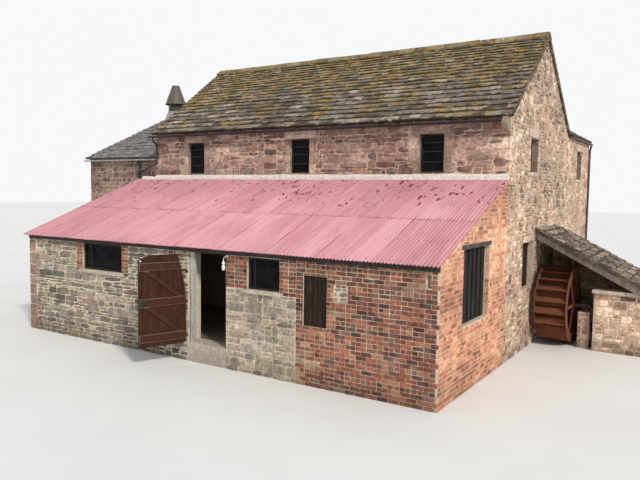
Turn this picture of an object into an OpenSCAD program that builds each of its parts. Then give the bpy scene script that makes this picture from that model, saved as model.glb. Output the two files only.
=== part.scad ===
// Stone watermill with a kiln, a rear wing, a corrugated lean-to and a wheelhouse.
// Millimetres, +Z up. X runs along the long front, Y runs into the building.
// Every module works from the lean-to's front left corner at the ground.
// place() then moves it to the origin, the middle of the front wall's underside.

/* [Mill block] */
// Length of the mill along its front
mill_length = 10880; // [9600:10:12000]
// Depth of the mill from front face to rear face
mill_depth = 5940; // [5600:10:6600]
// Height of the slates' lower edge
mill_eave_z = 5480; // [5400:10:6000]
// Pitch of the slated roofs in degrees
slate_pitch = 36.7; // [33:0.1:40]
// Thickness of a slated roof with its rafters
slate_roof_t = 130; // [100:5:180]
// Thickness of the slates where they run past the walls
eave_slate_t = 60; // [40:5:80]
// Number of slate courses on a slope of the mill roof
slate_courses = 21; // [14:1:26]
// How much taller each course is than the one above it
course_growth = 1.028; // [1.005:0.001:1.05]
// How far the slates pass the front and rear walls
mill_eave_over = 200; // [150:5:220]
// How far the slates pass the gables
verge_over = 50; // [20:5:80]
// Thickness of the stone walls
stone_t = 500; // [400:10:600]

/* [Upper windows] */
// Width of an upper window
upper_window_w = 600; // [500:10:700]
// Height of an upper window
upper_window_h = 900; // [700:10:950]
// Height of the upper windows' sills
upper_sill_z = 4250; // [4200:10:4350]
// Width of the gable's and the wing's upper windows
side_window_w = 680; // [600:10:900]

/* [Lean-to] */
// Depth of the lean-to
lean_depth = 3820; // [3600:10:4200]
// How far the lean-to runs past the mill's left corner
lean_beyond = 740; // [600:10:900]
// Height of the metal sheets at their lower edge
lean_eave_z = 2527; // [2500:1:2700]
// Height of the metal sheets at the mill wall
lean_top_z = 4098; // [4000:1:4150]
// How far the sheets pass the front wall
lean_over = 143; // [100:1:180]
// Thickness of the lean-to's walls
lean_wall_t = 400; // [330:10:450]
// Pitch of the corrugations
wave_pitch = 76.2; // [60:0.1:150]
// Depth of the corrugations
wave_depth = 19; // [12:1:30]

/* [Doorway] */
// Distance of the doorway's left side from the lean-to's left end
door_x = 5785; // [5700:5:5900]
// Width of the doorway
door_w = 1095; // [1040:5:1120]
// Height of the threshold
threshold_z = 425; // [380:5:480]
// Width of the white post on the hinge side
post_w = 120; // [100:5:150]
// Angle at which the leaf stands open
door_open = 110; // [90:1:150]
// Height of the leaf
leaf_h = 1950; // [1850:5:1960]

/* [Kiln and wing] */
// Side of the kiln's square plan
kiln_side = 4160; // [3800:10:4400]
// How far the kiln stands behind the mill's front face
kiln_setback = 780; // [600:10:900]
// Height of the kiln's eaves
kiln_eave_z = 4850; // [4700:10:4900]
// Radius of the cowl's lower rim
cowl_r = 370; // [300:5:400]
// Depth of the rear wing
wing_depth = 3340; // [3000:10:3600]
// Width of the rear wing
wing_width = 4500; // [4000:10:4600]
// Height of the wing's eaves
wing_eave_z = 5600; // [5500:10:5650]
// Pitch of the wing's roof in degrees
wing_pitch = 30; // [27:0.5:33]

/* [Wheelhouse and wheel] */
// Height of the wheelhouse roof at the gable
wheelhouse_top_z = 2975; // [2900:5:3050]
// Slope of the wheelhouse roof in degrees
wheelhouse_pitch = 27; // [24:0.5:28]
// How far the wheelhouse reaches from the gable
wheelhouse_reach = 2980; // [2700:10:3100]
// Outer radius of the water wheel
wheel_r = 930; // [850:5:960]
// Width of the water wheel between its rims
wheel_w = 760; // [700:10:800]
// Number of buckets
bucket_count = 20; // [12:1:24]

/* [Hidden] */
$fn = 48;

mill_x0 = lean_beyond;
mill_x1 = mill_x0 + mill_length;
mill_y0 = lean_depth;
mill_y1 = mill_y0 + mill_depth;
ridge_y = (mill_y0 + mill_y1) / 2;
eave_y = mill_y0 - mill_eave_over;
mill_reach = ridge_y - eave_y;
slate_rise = tan(slate_pitch);
slate_drop = slate_roof_t / cos(slate_pitch);
eave_slate_drop = eave_slate_t / cos(slate_pitch);
ridge_z = mill_eave_z + mill_reach * slate_rise;
// How far the tail of each slate stands over the course below it
slate_lap = 25;
// How far the rafters run past the wall they rest on
rafter_past = 20;
// Clearance left where two sloping faces meet
seat = 0.2;

// Origin of the finished part
origin_x = (mill_x0 + mill_x1) / 2;
origin_y = mill_y0 + stone_t / 2;

// Lean-to roof
lean_slope = atan((lean_top_z - lean_eave_z) / (lean_depth + lean_over));
sheet_t = 3;
sheet_end_gap = 6;
sheet_length = (lean_depth + lean_over) / cos(lean_slope) - sheet_end_gap;
sheet_side_over = 45;
wave_count = ceil((mill_x1 + 2 * sheet_side_over) / wave_pitch);
sheet_x0 = mill_x1 + sheet_side_over - wave_count * wave_pitch;
sheet_under = (wave_depth / 2 + sheet_t / 2) / cos(lean_slope);
eaves_board_t = 32;
eaves_board_h = 125;

// Doorway and leaf. The leaf's own frame has X from the pins to the free edge,
// Y from the outer face to the inner face and Z up
floor_z = 400;
floor_t = 150;
door_head_z = threshold_z + leaf_h + 45;
leaf_w = door_w - 10;
leaf_t = 40;
leaf_gap = 10;
pin_r = 8;
pin_gap = 0.08;
knuckle_r = 15;
pin_x = door_x - pin_r;
pin_y = -(leaf_gap + leaf_t + 10);
leaf_z = threshold_z + 15;
post_set = 30;
post_t = 70;
dark_jamb_w = 40;
dark_post_w = 75;
clip_w = 200;
clip_from = 850;
free_clip_w = 230;
free_clip_h = 95;
ledge_h = 175;
ledge_t = 28;
ledge_z = [100, 860, 1620];
brace_w = 135;
brace_x0 = 90;
brace_x1 = leaf_w - 90;
hinge_z = [150, 910, 1560];
strap_h = 45;
strap_length = 620;
lock_w = 150;
lock_h = 105;

// Lower windows and other openings of the lean-to, as [x, z, width, height]
window_one = [2190, 1770, 1440, 660];
window_two = [7435, 1755, 822, 665];
hatch = [8830, 1175, 535, 985];
brick_x = 8660;
slats_y = 1123;
slats_w = 1507;
slats_z = 1300;
slats_h = 1440;
slat_count = 6;
side_lintel_h = 88;
upper_floor_z = 3300;

// Openings of the right gable and of the wing, as [y, z, width, height]
gable_window = [5510, 4330, side_window_w, 810];
wing_window = [mill_y1 + 1360, 4300, side_window_w, 855];
gable_hatch = [5150, 1500, 1010, 1120];
owl_hole = [7130, 6900, 230, 190];
side_set = 140;

// Kiln
kiln_x0 = mill_x0 - kiln_side;
kiln_y0 = mill_y0 + kiln_setback;
kiln_over = 150;
kiln_wall_t = 450;
kiln_half = kiln_side / 2 + kiln_over;
kiln_cx = kiln_x0 + kiln_side / 2;
kiln_cy = kiln_y0 + kiln_side / 2;
kiln_wall_top = kiln_eave_z + kiln_over * slate_rise - slate_drop - seat;
kiln_courses = 13;
drum_r = 255;
drum_t = 8;
drum_z = kiln_eave_z + (kiln_half - drum_r) * slate_rise;
drum_h = 518;
apron_gap = drum_t / 2;
apron_r = 430;
apron_rise = 270;
apron_t = 14;
cowl_h = 664;
cowl_t = 6;
cowl_top_r = 130;

// Wing
wing_x0 = mill_x1 - wing_width;
wing_y1 = mill_y1 + wing_depth;
wing_mid_x = mill_x1 - wing_width / 2;
wing_over = 85;
wing_rise = tan(wing_pitch);
wing_drop = slate_roof_t / cos(wing_pitch);
wing_half = wing_width / 2 + wing_over;
wing_wall_t = 450;
wing_ridge_z = wing_eave_z + wing_half * wing_rise;
wing_gable_over = 80;

// Wheelhouse
wh_y0 = 6245;
wh_y1 = 8700;
wh_roof_t = 100;
wh_slope = tan(wheelhouse_pitch);
wh_drop = wh_roof_t / cos(wheelhouse_pitch);
wh_x1 = mill_x1 + wheelhouse_reach;
wh_eave_over = 150;
wh_wall_t = 350;
wh_low_x = mill_x1 + 1430;
wh_low_h = 1420;
wh_front_y = wh_y0 + 125;
wh_courses = 14;
wh_rafter_h = 170;
wh_rafter_w = 75;
wh_rafter_count = 4;
coping_t = 80;
coping_over = 40;

// Water wheel
axle_r = 50;
axle_z = wheel_r + 90;
axle_y = 6750;
wheel_x = mill_x1 + 140;
rim_t = 14;
rim_w = 210;
sole_r = wheel_r - rim_w;
pier_x = wheel_x + wheel_w + 160;
pier_w = 260;
bearing_gap = 0.08;
bearing_w = 240;
bearing_foot = 120;
bearing_r = 85;
bearing_length = 160;

// Height of the slates' top face over the mill at a given depth
function mill_roof_z(y) = ridge_z - abs(y - ridge_y) * slate_rise;
// Height of the rafters' underside over the mill at a given depth
function mill_under_z(y) = mill_roof_z(y) - slate_drop;
// Top of a wall that the mill roof rests on
function mill_wall_z(y) = mill_under_z(y) - seat;
// Height of the slates' underside where they run past the mill's walls
function eave_under_z(y) = mill_roof_z(y) - eave_slate_drop - seat;
// Height of the sheets' underside over the lean-to at a given depth
function lean_under_z(y) = lean_eave_z + (y + lean_over) * tan(lean_slope) - sheet_under - seat;
// Height of the wheelhouse roof's top face at a given place along X
function wh_roof_z(x) = wheelhouse_top_z - (x - mill_x1) * wh_slope;
// Height of the wing roof's top face at a given place along X
function wing_roof_z(x) = wing_ridge_z - abs(x - wing_mid_x) * wing_rise;

// Distance of a course's tail from the ridge, counted down from the ridge
function tail_at(i, length, courses, growth) =
    length * (pow(growth, i) - 1) / (pow(growth, courses) - 1);

// Outline of one slated slope, stepped at each course, as distance down the slope and height
// over the tails. The thick part carries the rafters and ends just past the wall
function slope_profile(pitch, reach, wall, courses, growth, thick) =
    let (length = reach / cos(pitch))
    concat(
        [[slate_lap * tan(pitch), -slate_lap]],
        [for (i = [1 : courses], n = [0, -slate_lap])
            if (i < courses || n == 0) [tail_at(i, length, courses, growth), n]],
        [[length, -eave_slate_t],
         [(wall + eave_slate_t * sin(pitch)) / cos(pitch), -eave_slate_t],
         [(wall + thick * sin(pitch)) / cos(pitch), -thick],
         [thick * tan(pitch), -thick]]);

// The same outline stood at its pitch against a ridge; side is 1 or -1
module slated_slope(mid, top, side, pitch, reach, wall, courses, growth, thick)
    polygon([for (p = slope_profile(pitch, reach, wall, courses, growth, thick))
             [mid + side * (p[0] * cos(pitch) + p[1] * sin(pitch)),
              top - p[0] * sin(pitch) + p[1] * cos(pitch)]]);

module place() translate([-origin_x, -origin_y, 0]) children();

// Extrudes a (Y, Z) outline along X from x0 over a length
module along_x(x0, length)
    translate([x0, 0, 0]) rotate([90, 0, 90]) linear_extrude(length) children();

// Extrudes an (X, Z) outline along Y from y0 over a depth
module along_y(y0, depth)
    translate([0, y0 + depth, 0]) rotate([90, 0, 0]) linear_extrude(depth) children();

module box(x, y, z, dx, dy, dz) translate([x, y, z]) cube([dx, dy, dz]);

// A round bar along X
module rod_x(x, y, z, length, r) translate([x, y, z]) rotate([0, 90, 0]) cylinder(h = length, r = r);

// A round pipe through a list of points, with a swollen socket at each bend. Every second
// length is a little thinner, as a spigot is
bend_swell = 1.12;
spigot = 0.96;
module pipe_run(points, r) {
    for (i = [1 : len(points) - 1]) {
        step = points[i] - points[i - 1];
        translate(points[i - 1]) rotate([0, acos(step[2] / norm(step)), atan2(step[1], step[0])])
            cylinder(h = norm(step), r = i % 2 == 0 ? spigot * r : r, $fn = 24);
        if (i < len(points) - 1) translate(points[i]) sphere(r = bend_swell * r, $fn = 24);
    }
}

// Half-round gutter section, open at the top
module gutter_section(r) difference() {
    circle(r = r);
    circle(r = r - 4);
    translate([-r - 1, 0]) square([2 * r + 2, r + 1]);
}

// Left edges of the three upper windows
upper_window_x = [for (c = [2414, 6095, 9808]) c - upper_window_w / 2];

module upper_openings()
    for (x = upper_window_x)
        box(x, mill_y0 - 1, upper_sill_z, upper_window_w, stone_t + 2, upper_window_h);

module front_wall() color("rosybrown") place() difference() {
    along_x(mill_x0 + stone_t, mill_length - 2 * stone_t)
        polygon([[mill_y0, 0], [mill_y0 + stone_t, 0],
                 [mill_y0 + stone_t, mill_wall_z(mill_y0 + stone_t)],
                 [mill_y0, mill_wall_z(mill_y0)]]);
    upper_openings();
    front_surrounds();
}

module rear_wall() color("rosybrown") place()
    along_x(mill_x0 + stone_t, mill_length - 2 * stone_t)
        polygon([[mill_y1 - stone_t, 0], [mill_y1, 0], [mill_y1, mill_wall_z(mill_y1)],
                 [mill_y1 - stone_t, mill_wall_z(mill_y1 - stone_t)]]);

module gable_outline()
    polygon([[mill_y0, 0], [mill_y1, 0], [mill_y1, mill_wall_z(mill_y1)],
             [ridge_y, mill_wall_z(ridge_y)], [mill_y0, mill_wall_z(mill_y0)]]);

module left_gable() color("rosybrown") place() along_x(mill_x0, stone_t) gable_outline();

// The kneeler stone carries the verge forward at the eave, its top running on at the roof's pitch
kneeler_w = 130;
kneeler_y = mill_y0 - 290;
kneeler_z = 5120;
slate_tip_y = eave_y - 10;
module kneeler_outline()
    polygon(concat(
        [for (a = [0 : 15 : 90])
            [mill_y0 - 60 + (kneeler_y - mill_y0 + 60) * sin(a), kneeler_z + 180 * (1 - cos(a))]],
        [[slate_tip_y, mill_roof_z(slate_tip_y) - slate_lap], [slate_tip_y, eave_under_z(slate_tip_y)],
         [mill_y0 - rafter_past - 1, eave_under_z(mill_y0 - rafter_past - 1)],
         [mill_y0 - rafter_past - 1, mill_wall_z(mill_y0 - rafter_past - 1)],
         [mill_y0, mill_wall_z(mill_y0)], [mill_y0, kneeler_z]]));

module right_gable() color("tan") place() difference() {
    union() {
        along_x(mill_x1 - stone_t, stone_t) gable_outline();
        along_x(mill_x1 - kneeler_w, kneeler_w) kneeler_outline();
    }
    for (w = [gable_window, gable_hatch])
        box(mill_x1 - stone_t - 1, w[0], w[1], stone_t + 2, w[2], w[3]);
    box(mill_x1 - 250, owl_hole[0], owl_hole[1], 251, owl_hole[2], owl_hole[3]);
    side_surround(gable_window);
    hatch_lintel();
    box(mill_x1 - stone_t - 1, axle_y - bearing_w / 2, axle_z - bearing_w / 2,
        stone_t + 2, bearing_w, bearing_w);
}

module mill_slope(side)
    along_x(mill_x0 - verge_over, mill_length + 2 * verge_over)
        slated_slope(ridge_y, ridge_z, side, slate_pitch, mill_reach, mill_depth / 2 + rafter_past,
                     slate_courses, course_growth, slate_roof_t);

module roof_front() color("dimgray") place() mill_slope(-1);

module roof_rear() color("dimgray") place() difference() {
    mill_slope(1);
    box(wing_x0 - wing_over, mill_y1, 0, wing_width + 2 * wing_over, 2 * mill_eave_over, ridge_z);
}

// The ridge stones are bent slabs whose feet lie on the top course
ridge_stone_w = 200;
ridge_stone_t = 45;
module ridge_section(mid, top, rise)
    polygon([for (s = [[-1, 0], [0, 0], [1, 0], [1, 0.7], [0.12, 1.15], [-0.12, 1.15], [-1, 0.7]])
             [mid + s[0] * ridge_stone_w,
              top + seat - abs(s[0]) * ridge_stone_w * rise + s[1] * ridge_stone_t]]);
module ridge_stones() color("gray") place() {
    along_x(mill_x0 - verge_over, mill_length + 2 * verge_over) ridge_section(ridge_y, ridge_z, slate_rise);
    difference() {
        along_y(ridge_y, wing_y1 + wing_gable_over - ridge_y)
            ridge_section(wing_mid_x, wing_ridge_z, wing_rise);
        mill_solid(ridge_stone_t);
    }
}

// The space under the mill roof's top face, raised by a given height
module mill_solid(lift)
    along_x(0, 2 * mill_x1)
        polygon([[mill_y0, 0], [mill_y1, 0], [mill_y1, mill_roof_z(mill_y1) + seat + lift],
                 [ridge_y, ridge_z + seat + lift], [mill_y0, ridge_z]]);

module ground_floor() color("gray") place() {
    box(lean_wall_t, lean_wall_t, floor_z - floor_t,
        mill_x1 - 2 * lean_wall_t, lean_depth - lean_wall_t, floor_t);
    box(mill_x0 + stone_t, mill_y0 + stone_t, floor_z - floor_t,
        mill_length - 2 * stone_t, mill_depth - 2 * stone_t, floor_t);
}

module upper_floor() color("burlywood") place() {
    box(mill_x0 + stone_t, mill_y0 + stone_t, upper_floor_z - floor_t,
        mill_length - 2 * stone_t, mill_depth - 2 * stone_t, floor_t);
    box(wing_x0 + wing_wall_t, mill_y1, upper_floor_z - floor_t,
        wing_width - 2 * wing_wall_t, wing_depth - wing_wall_t, floor_t);
}

// A window's wooden frame, drawn flat. Its bars stand at fractions of its width and height
frame_edge = 45;
frame_bar = 30;
frame_depth = 60;
frame_set = 55;
glass_t = 6;
upper_rails = [0.28, 0.55, 0.78];
wide_bars = [0.2];
module bars_outline(w, h, bars, rails) {
    for (f = bars) translate([f * w - frame_bar / 2, 0]) square([frame_bar, h]);
    for (f = rails) translate([0, f * h - frame_bar / 2]) square([w, frame_bar]);
}
module lights_outline(w, h, bars, rails) difference() {
    translate([frame_edge, frame_edge]) square([w - 2 * frame_edge, h - 2 * frame_edge]);
    bars_outline(w, h, bars, rails);
}
module frame_outline(w, h, bars, rails) difference() {
    square([w, h]);
    lights_outline(w, h, bars, rails);
}

// Lays a part of every window in its opening, at a depth behind the frame's face
module all_windows(part, depth, t) {
    for (x = upper_window_x)
        along_y(mill_y0 + frame_set + depth, t) translate([x, upper_sill_z])
            window_part(part, upper_window_w, upper_window_h, [], upper_rails);
    for (w = [window_one, window_two])
        along_y(frame_set + depth, t) translate([w[0], w[1]])
            window_part(part, w[2], w[3], wide_bars, []);
    for (w = [gable_window, wing_window])
        along_x(mill_x1 - side_set - depth - t, t) translate([w[0], w[1]])
            window_part(part, w[2], w[3], [0.5], [0.5]);
}
module window_part(part, w, h, bars, rails)
    if (part == "frame") frame_outline(w, h, bars, rails);
    else lights_outline(w, h, bars, rails);

module window_frames() color("saddlebrown") place() all_windows("frame", 0, frame_depth);

module window_glass() color("lightsteelblue", 0.5) place()
    all_windows("glass", frame_depth / 2, glass_t);

// Dressed stones round the upper windows: a lintel over each, jamb stones beside it, and a sill
// on the gable and the wing. They are let into the wall and stand a little proud of it
lintel_h = 235;
lintel_past = 200;
jamb_w = 170;
surround_t = 200;
surround_proud = 12;
front_lintel_h = 210;
hatch_lintel_h = 170;
hatch_lintel_past = 80;
module front_surrounds()
    for (x = upper_window_x) {
        box(x - lintel_past, mill_y0 - surround_proud, upper_sill_z + upper_window_h,
            upper_window_w + 2 * lintel_past, surround_t, front_lintel_h);
        for (side = [-jamb_w, upper_window_w])
            box(x + side, mill_y0 - surround_proud, upper_sill_z, jamb_w, surround_t, upper_window_h);
    }
module side_surround(w) {
    for (z = [w[1] - lintel_h / 2, w[1] + w[3]])
        box(mill_x1 + surround_proud - surround_t, w[0] - lintel_past, z,
            surround_t, w[2] + 2 * lintel_past, z < w[1] ? lintel_h / 2 : lintel_h);
    for (side = [-jamb_w, w[2]])
        box(mill_x1 + surround_proud - surround_t, w[0] + side, w[1], surround_t, jamb_w, w[3]);
}
module hatch_lintel()
    box(mill_x1 + surround_proud - surround_t, gable_hatch[0] - hatch_lintel_past,
        gable_hatch[1] + gable_hatch[3],
        surround_t, gable_hatch[2] + 2 * hatch_lintel_past, hatch_lintel_h);
module window_surrounds() color("rosybrown") place() {
    front_surrounds();
    hatch_lintel();
    side_surround(gable_window);
    side_surround(wing_window);
}

sill_h = 75;
sill_past = 90;
sill_out = 60;
module window_sills() color("silver") place()
    for (w = [window_one, window_two])
        box(w[0] - sill_past, -sill_out, w[1] - sill_h, w[2] + 2 * sill_past, sill_out, sill_h);

module kiln_walls() color("rosybrown") place() {
    box(kiln_x0, kiln_y0, 0, kiln_side, kiln_wall_t, kiln_wall_top);
    box(kiln_x0, kiln_y0 + kiln_side - kiln_wall_t, 0, kiln_side, kiln_wall_t, kiln_wall_top);
    box(kiln_x0, kiln_y0, 0, kiln_wall_t, kiln_side, kiln_wall_top);
}

// Turns a shape made for the kiln's front slope to each of its four sides
module kiln_sides()
    for (turn = [0 : 90 : 270]) translate([kiln_cx, kiln_cy, 0]) rotate([0, 0, turn]) children();

// The triangle in plan that one of the four slopes covers, just short of the hips
module hip_wedge()
    translate([0, -1, 0]) linear_extrude(2 * ridge_z)
        polygon([[0, 0], [2 * kiln_half, -2 * kiln_half], [-2 * kiln_half, -2 * kiln_half]]);

// Four slopes mitred at the hips, with a hole for the drum at the top
module kiln_roof() color("slategray") place() difference() {
    kiln_sides() intersection() {
        hip_wedge();
        along_x(-kiln_half, 2 * kiln_half)
            slated_slope(0, kiln_eave_z + kiln_half * slate_rise, -1, slate_pitch, kiln_half,
                         kiln_side / 2 + rafter_past, kiln_courses, 1.001, slate_roof_t);
    }
    translate([kiln_cx, kiln_cy, 0]) cylinder(h = 2 * ridge_z, r = drum_r + 1);
    box(mill_x0 - 1, kiln_y0 - kiln_side, 0, kiln_side, 3 * kiln_side, 2 * ridge_z);
}

// The space under the kiln's slates near the top, raised by a hair
module kiln_top_solid()
    kiln_sides() intersection() {
        translate([0, 1, 0]) hip_wedge();
        along_x(-2 * apron_r, 4 * apron_r)
            polygon([[0, 0], [-2 * apron_r, 0],
                     [-2 * apron_r, kiln_eave_z + (kiln_half - 2 * apron_r) * slate_rise + seat],
                     [0, kiln_eave_z + kiln_half * slate_rise + seat]]);
    }

// An iron drum through the roof, with a lead cone dressed from it over the slates
module kiln_drum() color("dimgray") place() {
    translate([kiln_cx, kiln_cy, drum_z - slate_drop]) difference() {
        cylinder(h = drum_h + slate_drop, r = drum_r);
        translate([0, 0, -1]) cylinder(h = drum_h + slate_drop + 2, r = drum_r - drum_t);
    }
    difference() {
        translate([kiln_cx, kiln_cy, drum_z - (apron_r - drum_r) * slate_rise]) rotate_extrude()
            polygon([[drum_r - apron_gap, 0], [apron_r, 0], [apron_r, apron_t],
                     [drum_r + apron_t, (apron_r - drum_r) * slate_rise + apron_rise],
                     [drum_r - apron_gap, (apron_r - drum_r) * slate_rise + apron_rise]]);
        kiln_top_solid();
    }
}

// The cowl is a thin cone with a rolled rim, a flat cap and three stays down to the drum
module kiln_cowl() color("gray") place() translate([kiln_cx, kiln_cy, drum_z + drum_h]) {
    rotate_extrude() polygon([[cowl_r - cowl_t, 8], [cowl_r - cowl_t, 0], [cowl_r + 6, 0], [cowl_r + 6, 14],
                              [cowl_r, 14], [cowl_top_r, cowl_h], [cowl_top_r - 12, cowl_h + 16],
                              [0, cowl_h + 16], [0, cowl_h + 8], [cowl_top_r - 16, cowl_h + 8],
                              [cowl_top_r - cowl_t, cowl_h]]);
    for (turn = [30 : 120 : 270]) rotate([0, 0, turn]) translate([drum_r + seat, -12, 0]) {
        translate([0, 0, -60]) cube([4, 24, 130]);
        translate([0, 0, 66]) cube([cowl_r - drum_r - 18, 24, 4]);
    }
}

module wing_walls() color("tan") place() difference() {
    union() {
        box(mill_x1 - wing_wall_t, mill_y1, 0, wing_wall_t, wing_depth, ridge_z);
        box(wing_x0, mill_y1, 0, wing_wall_t, wing_depth, ridge_z);
        box(wing_x0, wing_y1 - wing_wall_t, 0, wing_width, wing_wall_t, ridge_z);
    }
    along_y(mill_y1 - 1, wing_depth + 2)
        polygon([[wing_mid_x, wing_roof_z(wing_mid_x) - wing_drop - seat],
                 [mill_x1 + wing_half, wing_roof_z(mill_x1 + wing_half) - wing_drop - seat],
                 [mill_x1 + wing_half, 2 * ridge_z], [wing_x0 - wing_half, 2 * ridge_z],
                 [wing_x0 - wing_half, wing_roof_z(wing_x0 - wing_half) - wing_drop - seat]]);
    box(mill_x1 - wing_wall_t - 1, wing_window[0], wing_window[1],
        wing_wall_t + 2, wing_window[2], wing_window[3]);
    side_surround(wing_window);
}

// The wing's roof dies into the rear slope of the mill roof
wing_courses = 16;
module wing_roof() color("dimgray") place() difference() {
    along_y(ridge_y, wing_y1 + wing_gable_over - ridge_y)
        for (side = [-1, 1])
            slated_slope(wing_mid_x, wing_ridge_z, side, wing_pitch, wing_half,
                         wing_width / 2 + rafter_past, wing_courses, course_growth, slate_roof_t);
    mill_solid(0);
    box(mill_x1, mill_y0, 0, wing_over + 1, mill_depth, 2 * ridge_z);
}

// Section of a lean-to wall that lies between two depths
module lean_section(y0, y1)
    polygon([[y0, 0], [y1, 0], [y1, lean_under_z(y1)], [y0, lean_under_z(y0)]]);

module lean_to_end_wall() color("gray") place() {
    along_x(0, lean_wall_t) lean_section(0, lean_depth);
    box(0, mill_y0, 0, mill_x0 - seat, lean_wall_t, lean_under_z(mill_y0));
}

module stone_wall_left() color("gray") place() difference() {
    along_x(lean_wall_t, door_x - lean_wall_t) lean_section(0, lean_wall_t);
    box(window_one[0], -1, window_one[1], window_one[2], lean_wall_t + 2, window_one[3]);
}

module stone_wall_middle() color("gray") place() difference() {
    along_x(door_x + door_w, brick_x - door_x - door_w) lean_section(0, lean_wall_t);
    box(window_two[0], -1, window_two[1], window_two[2], lean_wall_t + 2, window_two[3]);
}

module brick_wall() color("firebrick") place() difference() {
    along_x(brick_x, mill_x1 - lean_wall_t - brick_x) lean_section(0, lean_wall_t);
    box(hatch[0], -1, hatch[1], hatch[2], lean_wall_t + 2, hatch[3]);
}

slot_x = 11375;
slot_z = 2140;
slot_w = 90;
slot_h = 240;
lintel_bearing = 125;
module brick_side_wall() color("coral") place() difference() {
    along_x(mill_x1 - lean_wall_t, lean_wall_t) lean_section(0, lean_depth);
    box(mill_x1 - lean_wall_t - 1, slats_y, slats_z, lean_wall_t + 2, slats_w, slats_h);
    box(mill_x1 - lean_wall_t - 1, slats_y - lintel_bearing, slats_z + slats_h,
        lean_wall_t + 2, slats_w + 2 * lintel_bearing, side_lintel_h);
    box(slot_x, -1, slot_z, slot_w, 121, slot_h);
}

// One ripple of the sheets: flat crest, flank, flat trough, flank
wave_steps = [[0.05, 1], [0.35, 1], [0.55, -1], [0.85, -1]];
function wave_line(side) = [for (i = [0 : wave_count - 1], s = wave_steps)
    [sheet_x0 + (i + s[0]) * wave_pitch, s[1] * wave_depth / 2 + side * sheet_t / 2]];
function reversed(list) = [for (i = [len(list) - 1 : -1 : 0]) list[i]];

module corrugated_roof() color("palevioletred") place()
    translate([0, -lean_over, lean_eave_z]) rotate([lean_slope, 0, 0])
        along_y(0, sheet_length) polygon(concat(wave_line(1), reversed(wave_line(-1))));

// Lime flaunching over the head of the sheets: full height on the mill wall, low past its corner
fillet_h = 120;
fillet_w = 80;
low_fillet_x = 156;
low_fillet_h = 80;
module fillet_section(h)
    polygon(concat(
        [for (a = [0 : 15 : 75])
            [mill_y0 - 25 - (fillet_w - 25) * cos(a),
             sheet_top_z(-fillet_w) + (lean_top_z + h - sheet_top_z(-fillet_w)) * sin(a)]],
        [[mill_y0 - 25, lean_top_z + h], [mill_y0, lean_top_z + h], [mill_y0, sheet_top_z(0)]]));
// Height of the corrugations' crests at a distance from the mill wall
function sheet_top_z(dy) =
    lean_top_z + dy * tan(lean_slope) + (wave_depth + sheet_t) / 2 / cos(lean_slope) + seat;
module lime_fillet() color("whitesmoke") place() {
    along_x(mill_x0, mill_length) fillet_section(fillet_h);
    along_x(low_fillet_x, mill_x0 - low_fillet_x + fillet_w) fillet_section(low_fillet_h);
    along_x(low_fillet_x, mill_x0 - low_fillet_x - seat)
        translate([mill_y0 - 1, lean_under_z(mill_y0) + seat])
            square([lean_wall_t / 2, lean_top_z + low_fillet_h - lean_under_z(mill_y0) - seat]);
}

module eaves_board() color("black") place()
    box(0, -eaves_board_t, lean_under_z(-eaves_board_t) - eaves_board_h,
        mill_x1, eaves_board_t, eaves_board_h);

// The white post on the hinge side, set back so that the leaf's ledges clear it
module door_posts() color("gainsboro") place()
    box(door_x + dark_jamb_w, post_set, threshold_z, post_w, post_t, door_head_z - threshold_z);

module threshold() color("lightgray") place()
    box(door_x, 0, 0, door_w, lean_wall_t, threshold_z);

// Upright boards across an opening, edge to edge with a narrow groove between
board_t = 25;
board_groove = 6;
module board_row(width, height, count)
    for (i = [0 : count - 1])
        translate([i * width / count + board_groove / 2, 0])
            square([width / count - board_groove, height]);

// Fixed hatches: upright boards nailed to two ledges behind them
hatch_set = 20;
hatch_ledge_h = 110;
hatch_ledges = [0.12, 0.75];
module hatch_boards() color("saddlebrown") place() {
    translate([hatch[0], 0, hatch[1]]) {
        along_y(hatch_set, board_t) board_row(hatch[2], hatch[3], 5);
        for (f = hatch_ledges)
            box(0, hatch_set + board_t, f * hatch[3], hatch[2], board_t, hatch_ledge_h);
    }
    translate([0, gable_hatch[0], gable_hatch[1]]) {
        along_x(mill_x1 - side_set - board_t, board_t) board_row(gable_hatch[2], gable_hatch[3], 7);
        for (f = hatch_ledges)
            box(mill_x1 - side_set - 2 * board_t, 0, f * gable_hatch[3],
                board_t, gable_hatch[2], hatch_ledge_h);
    }
}

// Spaced boards in the side opening, nailed to a rail at the foot and to the lintel's soffit rail
slat_set = 120;
slat_cover = 0.7;
rail_h = 60;
module slatted_boards() color("dimgray") place() {
    for (i = [0 : slat_count - 1])
        box(mill_x1 - slat_set, slats_y + (i + (1 - slat_cover) / 2) * slats_w / slat_count, slats_z,
            board_t, slat_cover * slats_w / slat_count, slats_h);
    for (z = [slats_z, slats_z + slats_h - rail_h])
        box(mill_x1 - slat_set - rail_h, slats_y, z, rail_h, slats_w, rail_h);
}

// Timber over the side opening, the beam over the doorway and the dark posts at its sides
module lintels() color("dimgray") place() {
    box(mill_x1 - lean_wall_t, slats_y - lintel_bearing, slats_z + slats_h,
        lean_wall_t, slats_w + 2 * lintel_bearing, side_lintel_h);
    for (post = [[0, dark_jamb_w], [door_w - dark_post_w, dark_post_w]])
        box(door_x + post[0], 2 * post_set, threshold_z, post[1], 2 * post_t, door_head_z - threshold_z);
    along_x(door_x, door_w)
        polygon([[0, door_head_z], [lean_wall_t, door_head_z],
                 [lean_wall_t, lean_under_z(lean_wall_t)], [0, lean_under_z(0)]]);
}

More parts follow.
